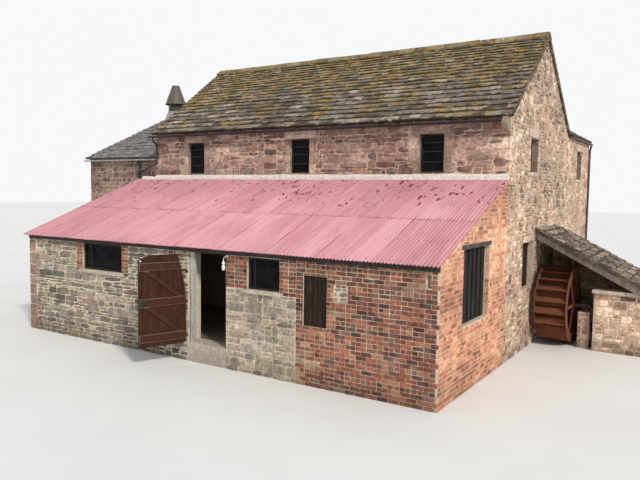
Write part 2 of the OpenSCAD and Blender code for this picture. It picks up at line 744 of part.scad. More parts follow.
// Front gutter of the mill on iron brackets, its swan neck and downpipe, and the kiln's pipe
// which takes both roofs' water down to a shoe near the ground
gutter_r = 55;
gutter_y = eave_y - 15;
gutter_z = eave_under_z(eave_y) - 15;
gutter_x1 = mill_x1 - kneeler_w - 20;
bracket_count = 6;
bracket_w = 22;
pipe_r = 34;
pipe_off = 60;
pipe_clip_w = 100;
pipe_clip_h = 40;
corner_pipe_x = mill_x0 + 50;
corner_pipe_y = mill_y0 - pipe_off;
corner_pipe_z = 4580;
kiln_pipe_x = -860;
kiln_pipe_y = kiln_y0 - pipe_off;
kiln_pipe_z = 4330;
shoe_z = 160;
module rainwater_pipes() color("dimgray") place() {
    along_x(mill_x0 - 140, gutter_x1 - mill_x0 + 140)
        translate([gutter_y, gutter_z]) gutter_section(gutter_r);
    for (i = [0 : bracket_count - 1])
        box(mill_x0 + 250 + i * (mill_length - 800) / (bracket_count - 1),
            gutter_y + gutter_r - 3, gutter_z - 11,
            bracket_w, mill_y0 - gutter_y - gutter_r + 3, 10);
    pipe_run([[corner_pipe_x, gutter_y, gutter_z - gutter_r + 2],
              [corner_pipe_x, gutter_y, gutter_z - gutter_r - 70],
              [corner_pipe_x, corner_pipe_y, gutter_z - gutter_r - 210],
              [corner_pipe_x, corner_pipe_y, corner_pipe_z],
              [kiln_pipe_x, kiln_pipe_y, kiln_pipe_z]], pipe_r - 4);
    pipe_run([[kiln_pipe_x, kiln_gutter_y, kiln_gutter_z - kiln_gutter_r - 3],
              [kiln_pipe_x, kiln_gutter_y, kiln_gutter_z - kiln_gutter_r - 60],
              [kiln_pipe_x, kiln_pipe_y, kiln_gutter_z - kiln_gutter_r - 150],
              [kiln_pipe_x, kiln_pipe_y, shoe_z + 60],
              [kiln_pipe_x, kiln_pipe_y - 90, shoe_z]], pipe_r);
    translate([kiln_pipe_x, kiln_pipe_y, kiln_pipe_z - 70]) cylinder(h = 140, r = pipe_r + 8);
    pipe_clip(corner_pipe_x, corner_pipe_y, 4850);
    for (z = [600, 2400, 4000]) pipe_clip(kiln_pipe_x, kiln_pipe_y, z);
}

// Clip that holds a pipe to the wall behind it
module pipe_clip(x, y, z)
    box(x - pipe_clip_w / 2, y, z, pipe_clip_w, pipe_off, pipe_clip_h);

// Pale gutter along the kiln's front eave
kiln_gutter_r = 50;
kiln_gutter_y = kiln_cy - kiln_half + 10;
kiln_gutter_z = kiln_eave_z - eave_slate_drop - 12;
module kiln_gutter() color("lightgray") place() {
    along_x(kiln_x0 - kiln_over, kiln_side + kiln_over - 80)
        translate([kiln_gutter_y, kiln_gutter_z]) gutter_section(kiln_gutter_r);
    for (x = [kiln_x0 + 250 : 900 : mill_x0 - 200])
        box(x, kiln_gutter_y + kiln_gutter_r - 3, kiln_gutter_z - 11, bracket_w,
            kiln_y0 - kiln_gutter_y - kiln_gutter_r + 3, 10);
}

// Brown gutter along the wing's right eave, on brackets that pass under it, and its downpipe at
// the rear corner
wing_gutter_r = 45;
wing_gutter_x = mill_x1 + wing_over + 5;
wing_gutter_z = wing_eave_z - eave_slate_t / cos(wing_pitch) - 12;
wing_pipe_y = wing_y1 - 90;
module wing_rainwater() color("saddlebrown") place() {
    along_y(mill_y1 + 10, wing_depth + wing_gable_over - 10)
        translate([wing_gutter_x, wing_gutter_z]) gutter_section(wing_gutter_r);
    for (y = [mill_y1 + 450, wing_y1 - 750])
        box(mill_x1, y, wing_gutter_z - wing_gutter_r - 4, wing_gutter_x - mill_x1, bracket_w, 7);
    pipe_run([[wing_gutter_x, wing_pipe_y, wing_gutter_z - wing_gutter_r + 2],
              [wing_gutter_x, wing_pipe_y, wing_gutter_z - wing_gutter_r - 60],
              [mill_x1 + pipe_off, wing_pipe_y, wing_gutter_z - wing_gutter_r - 160],
              [mill_x1 + pipe_off, wing_pipe_y, shoe_z + 60],
              [mill_x1 + 150, wing_pipe_y, shoe_z]], pipe_r);
    for (z = [900, 2500, 4100])
        box(mill_x1, wing_pipe_y - pipe_clip_w / 2, z, pipe_off, pipe_clip_w, pipe_clip_h);
}

// Lamp on a bent neck: a rose on the wall, a tube that turns down, a holder and a glass globe
lamp_x = 6915;
lamp_z = 2104;
lamp_h = 205;
neck_out = 130;
neck_bend = 45;
neck_r = 7;
neck_z = 2395;
rose_r = 30;
module lamp() color("white") place() translate([lamp_x, 0, 0]) {
    translate([0, 0, neck_z]) rotate([90, 0, 0]) cylinder(h = 12, r = rose_r);
    pipe_run([[0, -6, neck_z], [0, neck_bend - neck_out, neck_z], [0, -neck_out, neck_z - neck_bend],
              [0, -neck_out, lamp_z + lamp_h - 5]], neck_r);
    translate([0, -neck_out, lamp_z])
        rotate_extrude() polygon(concat(
            [[0, lamp_h], [14, lamp_h], [20, 190], [24, 165], [40, 150], [40, 142], [24, 138]],
            [for (a = [60 : -15 : -75]) [38 * cos(a), 64 + 64 * sin(a)]],
            [[0, 0]]));
}

module wheelhouse_roof() color("gray") place()
    along_y(wh_y0, wh_y1 - wh_y0)
        slated_slope(mill_x1 + seat, wheelhouse_top_z, 1, wheelhouse_pitch, wheelhouse_reach + wh_eave_over,
                     wheelhouse_reach + rafter_past, wh_courses, 1.001, wh_roof_t);

// Rafters under the roof, the first of them the pale barge rafter in the open front
wh_rafter_step = 505;
module wheelhouse_rafter() color("lightgray") place()
    for (i = [0 : wh_rafter_count - 1])
        along_y(wh_y0 + 10 + i * wh_rafter_step, wh_rafter_w)
            polygon([for (p = [[mill_x1, 0], [wh_x1 - wh_wall_t, 0], [wh_x1 - wh_wall_t, 1], [mill_x1, 1]])
                     [p[0], wh_roof_z(p[0]) - wh_drop - seat - p[1] * wh_rafter_h]]);

// Rear and outer walls, the low front wall and the pier that carries the axle's outer end
pier_depth = 500;
module wheelhouse_walls() color("gray") place() {
    along_y(wh_y1 - wh_wall_t, wh_wall_t)
        polygon([[mill_x1, 0], [wh_x1, 0], [wh_x1, wh_roof_z(wh_x1) - wh_drop - seat],
                 [mill_x1, wheelhouse_top_z - wh_drop - seat]]);
    along_y(wh_front_y, wh_y1 - wh_wall_t - wh_front_y)
        polygon([[wh_x1 - wh_wall_t, 0], [wh_x1, 0], [wh_x1, wh_roof_z(wh_x1) - wh_drop - seat],
                 [wh_x1 - wh_wall_t, wh_roof_z(wh_x1 - wh_wall_t) - wh_drop - seat]]);
    box(wh_low_x, wh_front_y, 0, wh_x1 - wh_wall_t - wh_low_x, wh_wall_t, wh_low_h);
    box(pier_x, axle_y - pier_depth / 2, 0, pier_w, pier_depth, axle_z - bearing_foot);
}

// Pale coping slab on the low front wall
module wheelhouse_coping() color("gainsboro") place()
    box(wh_low_x - coping_over, wh_front_y - coping_over, wh_low_h,
        wh_x1 - wh_wall_t - wh_low_x + coping_over, wh_wall_t + 2 * coping_over, coping_t);

// A plummer block: a foot, a round-topped body and the axle's bore
module bearing_section() {
    translate([-bearing_w / 2, -bearing_foot]) square([bearing_w, 50]);
    translate([-bearing_r, -bearing_foot]) square([2 * bearing_r, bearing_foot]);
    circle(r = bearing_r);
}
module wheel_bearings() color("dimgray") place() difference() {
    for (x = [mill_x1 - 350, pier_x + 50])
        along_x(x, bearing_length) translate([axle_y, axle_z]) bearing_section();
    rod_x(mill_x1 - 1000, axle_y, axle_z, 3000, axle_r + bearing_gap);
}

// Hooks on wall plates, each with an upright pin that carries a strap's eye
hook_t = 14;
hook_w = 20;
hook_z = -20;
hook_plate_t = 8;
module hinge_hooks() color("dimgray") place()
    for (z = hinge_z) translate([pin_x, pin_y, leaf_z + z + hook_z]) {
        cylinder(h = strap_h - hook_z + 12, r = pin_r);
        cylinder(h = hook_t, r = knuckle_r);
        translate([-hook_w, 0, 0]) cube([hook_w, -pin_y, hook_t]);
        translate([-2 * hook_w, -pin_y - hook_plate_t, -25]) cube([2 * hook_w + pin_r, hook_plate_t, 64]);
    }

// Turns the closed leaf about its pins to where it stands
leaf_start = knuckle_r + 3;
module hang_leaf() translate([pin_x, pin_y, leaf_z]) rotate([0, 0, -door_open])
    translate([0, 10, 0]) children();

// Width that the curved hinge-side edge has lost at a given height
function clip_at(z) = z < clip_from ? 0
    : clip_w * (1 - cos(90 * min(1, (z - clip_from) / (leaf_h - clip_from))));

module leaf_outline()
    polygon(concat(
        [[leaf_start + 50, 0], [leaf_w, 0], [leaf_w, leaf_h - free_clip_h],
         [leaf_w - free_clip_w, leaf_h]],
        [for (i = [10 : -1 : 0])
            let (z = clip_from + (leaf_h - clip_from) * i / 10) [leaf_start + clip_at(z), z]],
        [[leaf_start, 60]]));

// Upright boards with a shallow groove at each joint on both faces
leaf_boards = 10;
groove_w = 5;
groove_d = 4;
module door_leaf() color("saddlebrown") place() hang_leaf() difference() {
    along_y(0, leaf_t) leaf_outline();
    for (i = [1 : leaf_boards - 1], y = [-1, leaf_t - groove_d])
        box(leaf_start + i * (leaf_w - leaf_start) / leaf_boards - groove_w / 2, y, -1,
            groove_w, groove_d + 1, leaf_h + 2);
}

// Three ledges, and two braces that rise from the hinge side to the free edge
module door_ledges() color("saddlebrown") place() hang_leaf()
    along_y(leaf_t, ledge_t) intersection() {
        leaf_outline();
        union() {
            for (z = ledge_z) translate([0, z]) square([leaf_w, ledge_h]);
            for (i = [0, 1])
                polygon([[brace_x0, ledge_z[i] + ledge_h], [brace_x0 + brace_w, ledge_z[i] + ledge_h],
                         [brace_x1, ledge_z[i + 1]], [brace_x1 - brace_w, ledge_z[i + 1]]]);
        }
    }

// Tapered straps with eyes on the outer face, and a rim lock on the middle ledge
strap_t = 6;
strap_start = 10;
lock_t = 22;
lock_rise = 45;
knob_r = 26;
knob_in = 30;
module door_irons() color("dimgray") place() {
    for (z = hinge_z) {
        hang_leaf() along_y(-strap_t, strap_t)
            polygon([[strap_start, z], [strap_length, z + 12], [strap_length + 12, z + strap_h / 2],
                     [strap_length, z + strap_h - 12], [strap_start, z + strap_h]]);
        translate([pin_x, pin_y, leaf_z + z]) difference() {
            cylinder(h = strap_h, r = knuckle_r);
            translate([0, 0, -1]) cylinder(h = strap_h + 2, r = pin_r + pin_gap);
        }
    }
    hang_leaf() {
        box(leaf_w - lock_w, leaf_t + ledge_t, ledge_z[1] + lock_rise, lock_w, lock_t, lock_h);
        translate([leaf_w - lock_w + knob_in, leaf_t + ledge_t, ledge_z[1] + 2 * lock_rise])
            rotate([-90, 0, 0]) {
                cylinder(h = 2 * knob_r, r = 9);
                translate([0, 0, 2 * knob_r]) sphere(r = knob_r, $fn = 32);
            }
    }
}

module wheel_rims() color("sienna") place()
    for (x = [wheel_x, wheel_x + wheel_w - rim_t])
        translate([x, axle_y, axle_z]) rotate([0, 90, 0]) difference() {
            cylinder(h = rim_t, r = wheel_r, $fn = 96);
            translate([0, 0, -1]) cylinder(h = rim_t + 2, r = sole_r, $fn = 96);
        }

// Each bucket is a bent plate: a radial floor and a slanting lip
bucket_t = 6;
module bucket_outline()
    polygon([[sole_r + 1, 0], [sole_r + rim_w * 0.45, 0], [wheel_r - 6, 130], [wheel_r - 10, 136],
             [sole_r + rim_w * 0.45 - 3, bucket_t], [sole_r + 1, bucket_t]]);
module wheel_buckets() color("sienna") place()
    translate([0, axle_y, axle_z]) along_x(wheel_x + rim_t + seat, wheel_w - 2 * rim_t - 2 * seat) {
        for (i = [0 : bucket_count - 1]) rotate(i * 360 / bucket_count) bucket_outline();
        difference() {
            circle(r = sole_r + 6, $fn = 96);
            circle(r = sole_r, $fn = 96);
        }
    }

// Arms taper from the hub to the rim on each side of the wheel
arm_count = 6;
hub_r = axle_r + 60;
arm_gap = 0.5;
arm_w = [90, 60];
arm_start = hub_r + arm_gap;
arm_end = sqrt(sole_r * sole_r - pow(arm_w[1] / 2, 2)) - arm_gap;
module wheel_arms() color("sienna") place()
    for (x = [wheel_x, wheel_x + wheel_w - rim_t])
        translate([0, axle_y, axle_z]) along_x(x, rim_t)
            for (i = [0 : arm_count - 1]) rotate(i * 360 / arm_count)
                polygon([[arm_start, -arm_w[0] / 2], [arm_end, -arm_w[1] / 2],
                         [arm_end, arm_w[1] / 2], [arm_start, arm_w[0] / 2]]);

module wheel_axle() color("sienna") place() {
    rod_x(mill_x1 - 420, axle_y, axle_z, pier_x + pier_w - mill_x1 + 420, axle_r);
    for (x = [wheel_x - 20, wheel_x + wheel_w - rim_t - 20])
        rod_x(x, axle_y, axle_z, rim_t + 40, hub_r);
}

front_wall();
rear_wall();
left_gable();
right_gable();
roof_front();
roof_rear();
ridge_stones();
ground_floor();
upper_floor();
window_frames();
window_glass();
window_sills();
window_surrounds();
kiln_walls();
kiln_roof();
kiln_drum();
kiln_cowl();
wing_walls();
wing_roof();
lean_to_end_wall();
stone_wall_left();
stone_wall_middle();
brick_wall();
brick_side_wall();
corrugated_roof();
lime_fillet();
eaves_board();
door_posts();
threshold();
hatch_boards();
slatted_boards();
lintels();
rainwater_pipes();
kiln_gutter();
wing_rainwater();
lamp();
wheelhouse_roof();
wheelhouse_rafter();
wheelhouse_walls();
wheelhouse_coping();
wheel_bearings();
hinge_hooks();
door_leaf();
door_ledges();
door_irons();
wheel_rims();
wheel_buckets();
wheel_arms();
wheel_axle();
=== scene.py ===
# Dresses the stone watermill: laid stones, bricks and slates, metal sheets, timber and iron
import math
import random

import bmesh
import bpy
from mathutils import Matrix, Vector, noise


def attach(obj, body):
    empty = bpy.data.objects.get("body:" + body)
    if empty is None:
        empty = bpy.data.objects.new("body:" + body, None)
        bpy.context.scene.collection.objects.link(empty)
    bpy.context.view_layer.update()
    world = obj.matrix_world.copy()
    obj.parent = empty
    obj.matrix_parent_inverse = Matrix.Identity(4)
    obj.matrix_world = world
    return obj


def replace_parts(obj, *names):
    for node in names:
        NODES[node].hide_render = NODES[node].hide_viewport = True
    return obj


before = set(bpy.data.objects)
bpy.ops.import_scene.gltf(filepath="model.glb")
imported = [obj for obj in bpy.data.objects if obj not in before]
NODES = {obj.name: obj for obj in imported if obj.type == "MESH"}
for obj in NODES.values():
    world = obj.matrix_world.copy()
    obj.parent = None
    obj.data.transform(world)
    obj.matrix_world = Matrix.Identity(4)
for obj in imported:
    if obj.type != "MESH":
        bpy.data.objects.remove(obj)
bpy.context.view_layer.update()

# Sizes of the building in metres, from the lean-to's front left corner at the ground
ORIGIN = Vector((6.18, 4.07, 0.0))
MILL_X = (0.74, 11.62)
MILL_Y = (3.82, 9.76)
RIDGE_Y = 6.79
EAVE_Z = 5.48
PITCH = math.radians(36.7)
EAVE_OVER = 0.2
VERGE_OVER = 0.05
REACH = RIDGE_Y - MILL_Y[0] + EAVE_OVER
RIDGE_Z = EAVE_Z + REACH * math.tan(PITCH)
LAP = 0.025
LEAN_OVER = 0.143
LEAN_FOOT_Z = 2.527
LEAN_HEAD_Z = 4.098
LEAN_END_Y = 4.22
LEAN_END_TOP = 4.06
LEAN_SLOPE = math.atan((LEAN_HEAD_Z - LEAN_FOOT_Z) / (MILL_Y[0] + LEAN_OVER))
KILN_X = (-3.42, 0.74)
KILN_Y = (4.60, 8.76)
KILN_HALF = 2.23
KILN_EAVE_Z = 4.85
LEAD_TOP_Z = 6.585
WING_X = (7.12, 11.62)
WING_Y1 = 13.10
WING_EAVE_Z = 5.60
WING_PITCH = math.radians(30)
WING_HALF = 2.335
WHEELHOUSE_Y = (6.245, 8.70)
WHEELHOUSE_TOP = 2.975
WHEELHOUSE_PITCH = math.radians(27)
WHEELHOUSE_X1 = 14.60
WHEELHOUSE_WALL_Y = 6.37
DOOR_X = (5.785, 6.88)
BRICK_X = 8.66
STRETCHER, HEADER, BRICK_COURSE = 0.225, 0.1125, 0.085
CORRUGATION, WAVES = 0.0762, 9
FRONT, RIGHT, REAR, LEFT = 0.0, math.pi / 2, math.pi, -math.pi / 2


def at(x, y, z):
    return Vector((x, y, z)) - ORIGIN


# Shader helpers

class Wiring:
    """Adds shader nodes to a tree and joins them."""

    def __init__(self, tree):
        self.tree = tree

    def node(self, kind, **settings):
        n = self.tree.nodes.new("ShaderNode" + kind)
        for key, value in settings.items():
            setattr(n, key, value)
        return n

    def feed(self, socket, value):
        if isinstance(value, bpy.types.NodeSocket):
            self.tree.links.new(value, socket)
        elif isinstance(value, (tuple, list)) and len(value) == 3 and socket.type == "RGBA":
            socket.default_value = (*value, 1.0)
        else:
            socket.default_value = value

    def where(self, scale=(1, 1, 1), turn=(0, 0, 0)):
        place = self.node("TexCoord").outputs["Object"]
        if scale == (1, 1, 1) and turn == (0, 0, 0):
            return place
        m = self.node("Mapping")
        self.feed(m.inputs["Vector"], place)
        m.inputs["Scale"].default_value = scale
        m.inputs["Rotation"].default_value = turn
        return m.outputs[0]

    def noise(self, place, scale, detail=4.0, rough=0.55, distort=0.0, colour=False):
        n = self.node("TexNoise")
        self.feed(n.inputs["Vector"], place)
        self.feed(n.inputs["Scale"], scale)
        n.inputs["Detail"].default_value = detail
        n.inputs["Roughness"].default_value = rough
        n.inputs["Distortion"].default_value = distort
        return n.outputs["Color" if colour else "Fac"]

    def cells(self, place, scale, feature="F1", out="Distance"):
        n = self.node("TexVoronoi", feature=feature)
        self.feed(n.inputs["Vector"], place)
        self.feed(n.inputs["Scale"], scale)
        return n.outputs[out]

    def ramp(self, fac, stops, smooth=False):
        n = self.node("ValToRGB")
        self.feed(n.inputs["Fac"], fac)
        r = n.color_ramp
        r.interpolation = "EASE" if smooth else "LINEAR"
        while len(r.elements) < len(stops):
            r.elements.new(0.5)
        for e, (pos, col) in zip(r.elements, stops):
            e.position = pos
            e.color = (*col, 1.0) if isinstance(col, tuple) else (col, col, col, 1.0)
        return n.outputs["Color"]

    def range(self, value, low, high, to_low=0.0, to_high=1.0):
        n = self.node("MapRange", interpolation_type="SMOOTHSTEP")
        self.feed(n.inputs["Value"], value)
        for name, v in (("From Min", low), ("From Max", high), ("To Min", to_low), ("To Max", to_high)):
            self.feed(n.inputs[name], v)
        return n.outputs["Result"]

    def mix(self, fac, a, b, blend="MIX"):
        n = self.node("Mix", data_type="RGBA", blend_type=blend)
        for i, v in ((0, fac), (6, a), (7, b)):
            self.feed(n.inputs[i], v)
        return n.outputs[2]

    def toned(self, a, b):
        return self.mix(1.0, a, b, "MULTIPLY")

    def maths(self, op, a, b, clamp=False):
        n = self.node("Math", operation=op, use_clamp=clamp)
        self.feed(n.inputs[0], a)
        self.feed(n.inputs[1], b)
        return n.outputs[0]

    def times(self, a, b, clamp=False):
        return self.maths("MULTIPLY", a, b, clamp)

    def plus(self, a, b):
        return self.maths("ADD", a, b)

    def less(self, a, b):
        return self.maths("SUBTRACT", a, b)

    def axis(self, vector, name):
        n = self.node("SeparateXYZ")
        self.feed(n.inputs[0], vector)
        return n.outputs[name]

    def own(self, name, out="Fac"):
        return self.node("Attribute", attribute_name=name).outputs[out]

    def use(self, group, **values):
        n = self.node("Group")
        n.node_tree = group
        for key, value in values.items():
            self.feed(n.inputs[key.replace("_", " ")], value)
        return n.outputs


def effect(name, inputs, outputs, build):
    """A shared effect as a node group with named inputs and outputs."""
    tree = bpy.data.node_groups.new(name, "ShaderNodeTree")
    kinds = {"value": "NodeSocketFloat", "colour": "NodeSocketColor"}
    for label, kind, default in inputs:
        s = tree.interface.new_socket(label, in_out="INPUT", socket_type=kinds[kind])
        s.default_value = (*default, 1.0) if kind == "colour" else default
    for label, kind in outputs:
        tree.interface.new_socket(label, in_out="OUTPUT", socket_type=kinds[kind])
    w = Wiring(tree)
    given = tree.nodes.new("NodeGroupInput").outputs
    result = tree.nodes.new("NodeGroupOutput").inputs
    for label, value in build(w, given).items():
        w.feed(result[label], value)
    return tree


def weathering(w, given):
    """Broad dark and pale blotches, and streaks that run down a wall or roof."""
    broad = w.range(w.noise(w.where(), 0.55, 5, 0.6, 0.4), 0.38, 0.66)
    fine = w.range(w.noise(w.where(), 4.0, 5, 0.65), 0.4, 0.7)
    streak = w.range(w.noise(w.where((3.2, 3.2, 0.35)), 2.0, 4, 0.6), 0.48, 0.72)
    dark = w.times(w.plus(w.times(broad, 0.6), w.times(streak, 0.5)), given["Amount"], True)
    toned = w.mix(dark, given["Colour"], given["Dirt"], "MULTIPLY")
    pale = w.times(fine, w.times(given["Amount"], 0.35), True)
    return {"Colour": w.mix(pale, toned, given["Bloom"]), "Mask": dark}


def stone_grain(w, given):
    """Pits and tooling of a rough stone face, with a matching tone."""
    fine = w.noise(w.where(), given["Size"], 6, 0.7)
    pits = w.cells(w.where(), w.times(given["Size"], 0.8))
    height = w.plus(w.times(fine, 0.7), w.times(pits, 0.5))
    blotch = w.noise(w.where(), w.times(given["Size"], 0.3), 4, 0.65, 0.3)
    tone = w.times(w.range(height, 0.35, 0.85, 0.72, 1.18), w.range(blotch, 0.34, 0.66, 0.66, 1.3))
    return {"Height": height, "Tone": tone}


def lichen(w, given):
    """Round crusts of growth that gather in patches."""
    patch = w.range(w.noise(w.where(), 1.5, 4, 0.6, 0.3), w.less(0.70, w.times(given["Spread"], 0.34)),
                    w.less(0.84, w.times(given["Spread"], 0.30)))
    spots = w.range(w.noise(w.where(), given["Size"], 5, 0.7, 0.6), 0.44, 0.56)
    mask = w.times(patch, spots, True)
    tone = w.toned(given["Growth"], w.range(w.noise(w.where(), 9.0, 4, 0.7), 0.35, 0.65, 0.62, 1.25))
    return {"Mask": mask, "Colour": w.mix(mask, given["Colour"], tone)}


def plank_grain(w, given):
    """Long fibres that run up a board, with knots and a worn tone."""
    fibre = w.noise(w.where((28, 28, 1.6)), 3.0, 6, 0.65, 0.5)
    knots = w.range(w.cells(w.where((5, 5, 1.2)), 1.6), 0.02, 0.16, 1.0, 0.0)
    height = w.less(fibre, w.times(knots, 0.3))
    worn = w.range(w.noise(w.where((6, 6, 0.9)), 1.8, 5, 0.7), 0.5, 0.68)
    grain = w.mix(w.range(fibre, 0.36, 0.66), given["Dark"], given["Light"])
    return {"Height": height, "Colour": w.mix(w.times(worn, given["Wear"], True), grain, given["Bare"]),
            "Mask": worn}


def rust_bloom(w, given):
    """Rust that breaks through a coat, deeper in the middle of each patch."""
    big = w.noise(w.where(), 1.6, 6, 0.7, 0.6)
    small = w.noise(w.where(), 22.0, 5, 0.7)
    field = w.plus(w.times(big, 0.65), w.times(small, 0.35))
    mask = w.range(field, w.less(0.66, w.times(given["Amount"], 0.3)), 0.7)
    tone = w.ramp(small, [(0.3, (0.05, 0.014, 0.006)), (0.5, (0.17, 0.05, 0.018)), (0.7, (0.34, 0.13, 0.05))])
    return {"Mask": mask, "Colour": w.mix(mask, given["Colour"], tone), "Height": small}


WEATHER = effect(
    "Wall weathering",
    [("Colour", "colour", (0.5, 0.5, 0.5)), ("Dirt", "colour", (0.45, 0.4, 0.36)),
     ("Bloom", "colour", (0.7, 0.68, 0.6)), ("Amount", "value", 0.5)],
    [("Colour", "colour"), ("Mask", "value")], weathering)
GRAIN = effect(
    "Stone grain", [("Size", "value", 30.0)], [("Height", "value"), ("Tone", "value")], stone_grain)
LICHEN = effect(
    "Lichen crusts",
    [("Colour", "colour", (0.2, 0.2, 0.2)), ("Growth", "colour", (0.5, 0.35, 0.1)),
     ("Size", "value", 6.0), ("Spread", "value", 0.5)],
    [("Colour", "colour"), ("Mask", "value")], lichen)
PLANK = effect(
    "Board grain",
    [("Dark", "colour", (0.05, 0.03, 0.02)), ("Light", "colour", (0.15, 0.1, 0.07)),
     ("Bare", "colour", (0.3, 0.26, 0.22)), ("Wear", "value", 0.4)],
    [("Colour", "colour"), ("Height", "value"), ("Mask", "value")], plank_grain)
RUST = effect(
    "Rust bloom", [("Colour", "colour", (0.1, 0.1, 0.1)), ("Amount", "value", 0.5)],
    [("Colour", "colour"), ("Mask", "value"), ("Height", "value")], rust_bloom)


def finish(name, build, rough=0.85, **plain):
    """A material: build wires it up and returns colour, height and roughness where they vary."""
    mat = bpy.data.materials.new(name)
    mat.use_nodes = True
    tree = mat.node_tree
    shader = tree.nodes["Principled BSDF"]
    shader.inputs["Roughness"].default_value = rough
    for key, value in plain.items():
        shader.inputs[key.replace("_", " ")].default_value = value
    w = Wiring(tree)
    made = build(w)
    w.feed(shader.inputs["Base Color"], made["colour"])
    for key, socket in (("rough", "Roughness"), ("metal", "Metallic")):
        if key in made:
            w.feed(shader.inputs[socket], made[key])
    if "height" in made:
        bump = w.node("Bump")
        bump.inputs["Strength"].default_value = made.get("strength", 0.5)
        bump.inputs["Distance"].default_value = made.get("deep", 0.01)
        w.feed(bump.inputs["Height"], made["height"])
        w.feed(shader.inputs["Normal"], bump.outputs[0])
    return mat


def damp(w):
    """A tone that darkens the foot of a wall unevenly."""
    height = w.plus(w.axis(w.where(), "Z"), w.times(w.noise(w.where(), 1.6, 4, 0.6), -0.5))
    return w.range(height, -0.25, 0.30, 0.68, 1.0)


def laid_stone(name, stops, dirt, amount, grain=34.0, mortar=(0.55, 0.49, 0.40), bloom=(0.6, 0.55, 0.46),
               smear=0.5, high=None):
    """Stones or bricks whose tone comes from each one's own tint, with mortar at their rims. Where high
    gives two heights, the wall darkens from the first to the second and takes dark specks, painted shade
    of the holes between the stones."""
    def build(w):
        base = w.ramp(w.own("tint"), stops)
        g = w.use(GRAIN, Size=grain)
        vein = w.noise(w.where((1, 1, 3)), 6.0, 5, 0.6, 0.6)
        base = w.mix(w.range(vein, 0.42, 0.68, 0.0, 0.5), base, w.toned(base, (1.3, 1.22, 1.16)))
        base = w.toned(base, g["Tone"])
        base = w.toned(base, w.own("shade"))
        worn = w.use(WEATHER, Colour=base, Dirt=dirt, Bloom=bloom, Amount=amount)
        broad = w.range(w.noise(w.where(), 0.8, 4, 0.6), 0.36, 0.64, 0.78, 1.16)
        rim = w.range(w.plus(w.own("rim"), w.noise(w.where(), 14.0, 3, 0.6)), 1.2, 1.5, 0.0, smear)
        if high:
            broad = w.times(broad, w.range(w.axis(w.where(), "Z"), *high, 1.10, 0.80))
            # Dark specks: painted shade of the holes and gaps between the stones
            pits = w.noise(w.where((1, 1, 1.5)), 10.0, 4, 0.65)
            broad = w.times(broad, w.range(pits, 0.56, 0.66, 1.0, 0.55))
        broad = w.times(broad, damp(w))
        toned = w.toned(worn["Colour"], broad)
        return {"colour": w.mix(rim, toned, mortar), "height": g["Height"], "strength": 0.7, "deep": 0.008}
    return finish(name, build, 0.92)


def lime(name, colour, dirt, amount=0.5, grain=55.0, kneeler=False):
    """Mortar or pale stone. With kneeler, what stands ahead of the mill's front is darker."""
    def build(w):
        g = w.use(GRAIN, Size=grain)
        worn = w.use(WEATHER, Colour=w.mix(0.55, colour, g["Tone"], "MULTIPLY"), Dirt=dirt,
                     Bloom=tuple(min(1, c * 1.25) for c in colour), Amount=amount)
        tone = damp(w)
        if kneeler:
            front = MILL_Y[0] - ORIGIN.y
            tone = w.times(tone, w.range(w.axis(w.where(), "Y"), front - 0.03, front - 0.01, 0.5, 1.0))
        return {"colour": w.toned(worn["Colour"], tone), "height": g["Height"],
                "strength": 0.6, "deep": 0.008}
    return finish(name, build, 0.95)


def roof_slate(name, stops, growth, spread, moss, moss_spread, dirt=(0.42, 0.38, 0.34), low=5.5, high=7.9,
               head=0.3):
    """Slates with their own tints and pale tails, painted shade at their heads under the tails of the slates
    above (head sets how dark), lichen that thickens from the low height to the high one, and moss that
    gathers at the tails."""
    def build(w):
        base = w.ramp(w.own("tint"), stops)
        g = w.use(GRAIN, Size=24.0)
        base = w.toned(w.toned(base, g["Tone"]), w.own("shade"))
        base = w.use(WEATHER, Colour=base, Dirt=dirt, Bloom=(0.36, 0.33, 0.30), Amount=0.4)["Colour"]
        patchy = w.range(w.noise(w.where(), 3.8, 5, 0.7), 0.42, 0.6, 0.15, 0.75)
        pale = w.times(w.range(w.own("rim"), 0.80, 1.0), patchy)
        base = w.mix(pale, base, (0.50, 0.45, 0.41))
        higher = w.range(w.axis(w.where(), "Z"), low, high, spread * 0.6, spread * 1.25)
        base = w.use(LICHEN, Colour=base, Growth=growth, Size=8.0, Spread=higher)["Colour"]
        # Painted shade: each slate's head, just under the tail of the slate above, is darkened by head
        base = w.toned(base, w.range(w.own("rim"), 0.10, 0.24, head, 1.0))
        tail = w.plus(w.times(w.own("rim"), 0.35), w.noise(w.where(), 3.4, 5, 0.65, 0.5))
        mask = w.range(tail, 0.86 - moss_spread * 0.35, 0.95 - moss_spread * 0.25)
        green = w.ramp(w.noise(w.where(), 26.0, 4, 0.7), [(0.3, tuple(c * 0.5 for c in moss)), (0.7, moss)])
        return {"colour": w.mix(mask, base, green), "height": w.plus(g["Height"], w.times(mask, 0.8)),
                "strength": 0.6, "deep": 0.008}
    return finish(name, build, 0.93)


def timber(name, dark, light, bare, wear, rough=0.8, **plain):
    def build(w):
        p = w.use(PLANK, Dark=dark, Light=light, Bare=bare, Wear=wear)
        tone = w.range(w.noise(w.where((9, 9, 0.6)), 1.0, 3), 0.35, 0.65, 0.75, 1.2)
        return {"colour": w.toned(p["Colour"], tone), "height": p["Height"], "strength": 0.5, "deep": 0.004}
    return finish(name, build, rough, **plain)


def painted_iron(name, colour, rust, rough=0.55, metal=0.0):
    def build(w):
        lighter = tuple(min(1, c * 1.5 + 0.01) for c in colour)
        tone = w.mix(w.range(w.noise(w.where(), 9.0, 5, 0.6), 0.35, 0.7), colour, lighter)
        r = w.use(RUST, Colour=tone, Amount=rust)
        return {"colour": r["Colour"], "rough": w.range(r["Mask"], 0, 1, rough, 0.9), "height": r["Height"],
                "strength": 0.25, "deep": 0.003}
    return finish(name, build, rough, Metallic=metal)


def dimmed(stops, by):
    """A palette with its red, green and blue each made darker or lighter."""
    return [(place, tuple(c * k for c, k in zip(colour, by))) for place, colour in stops]


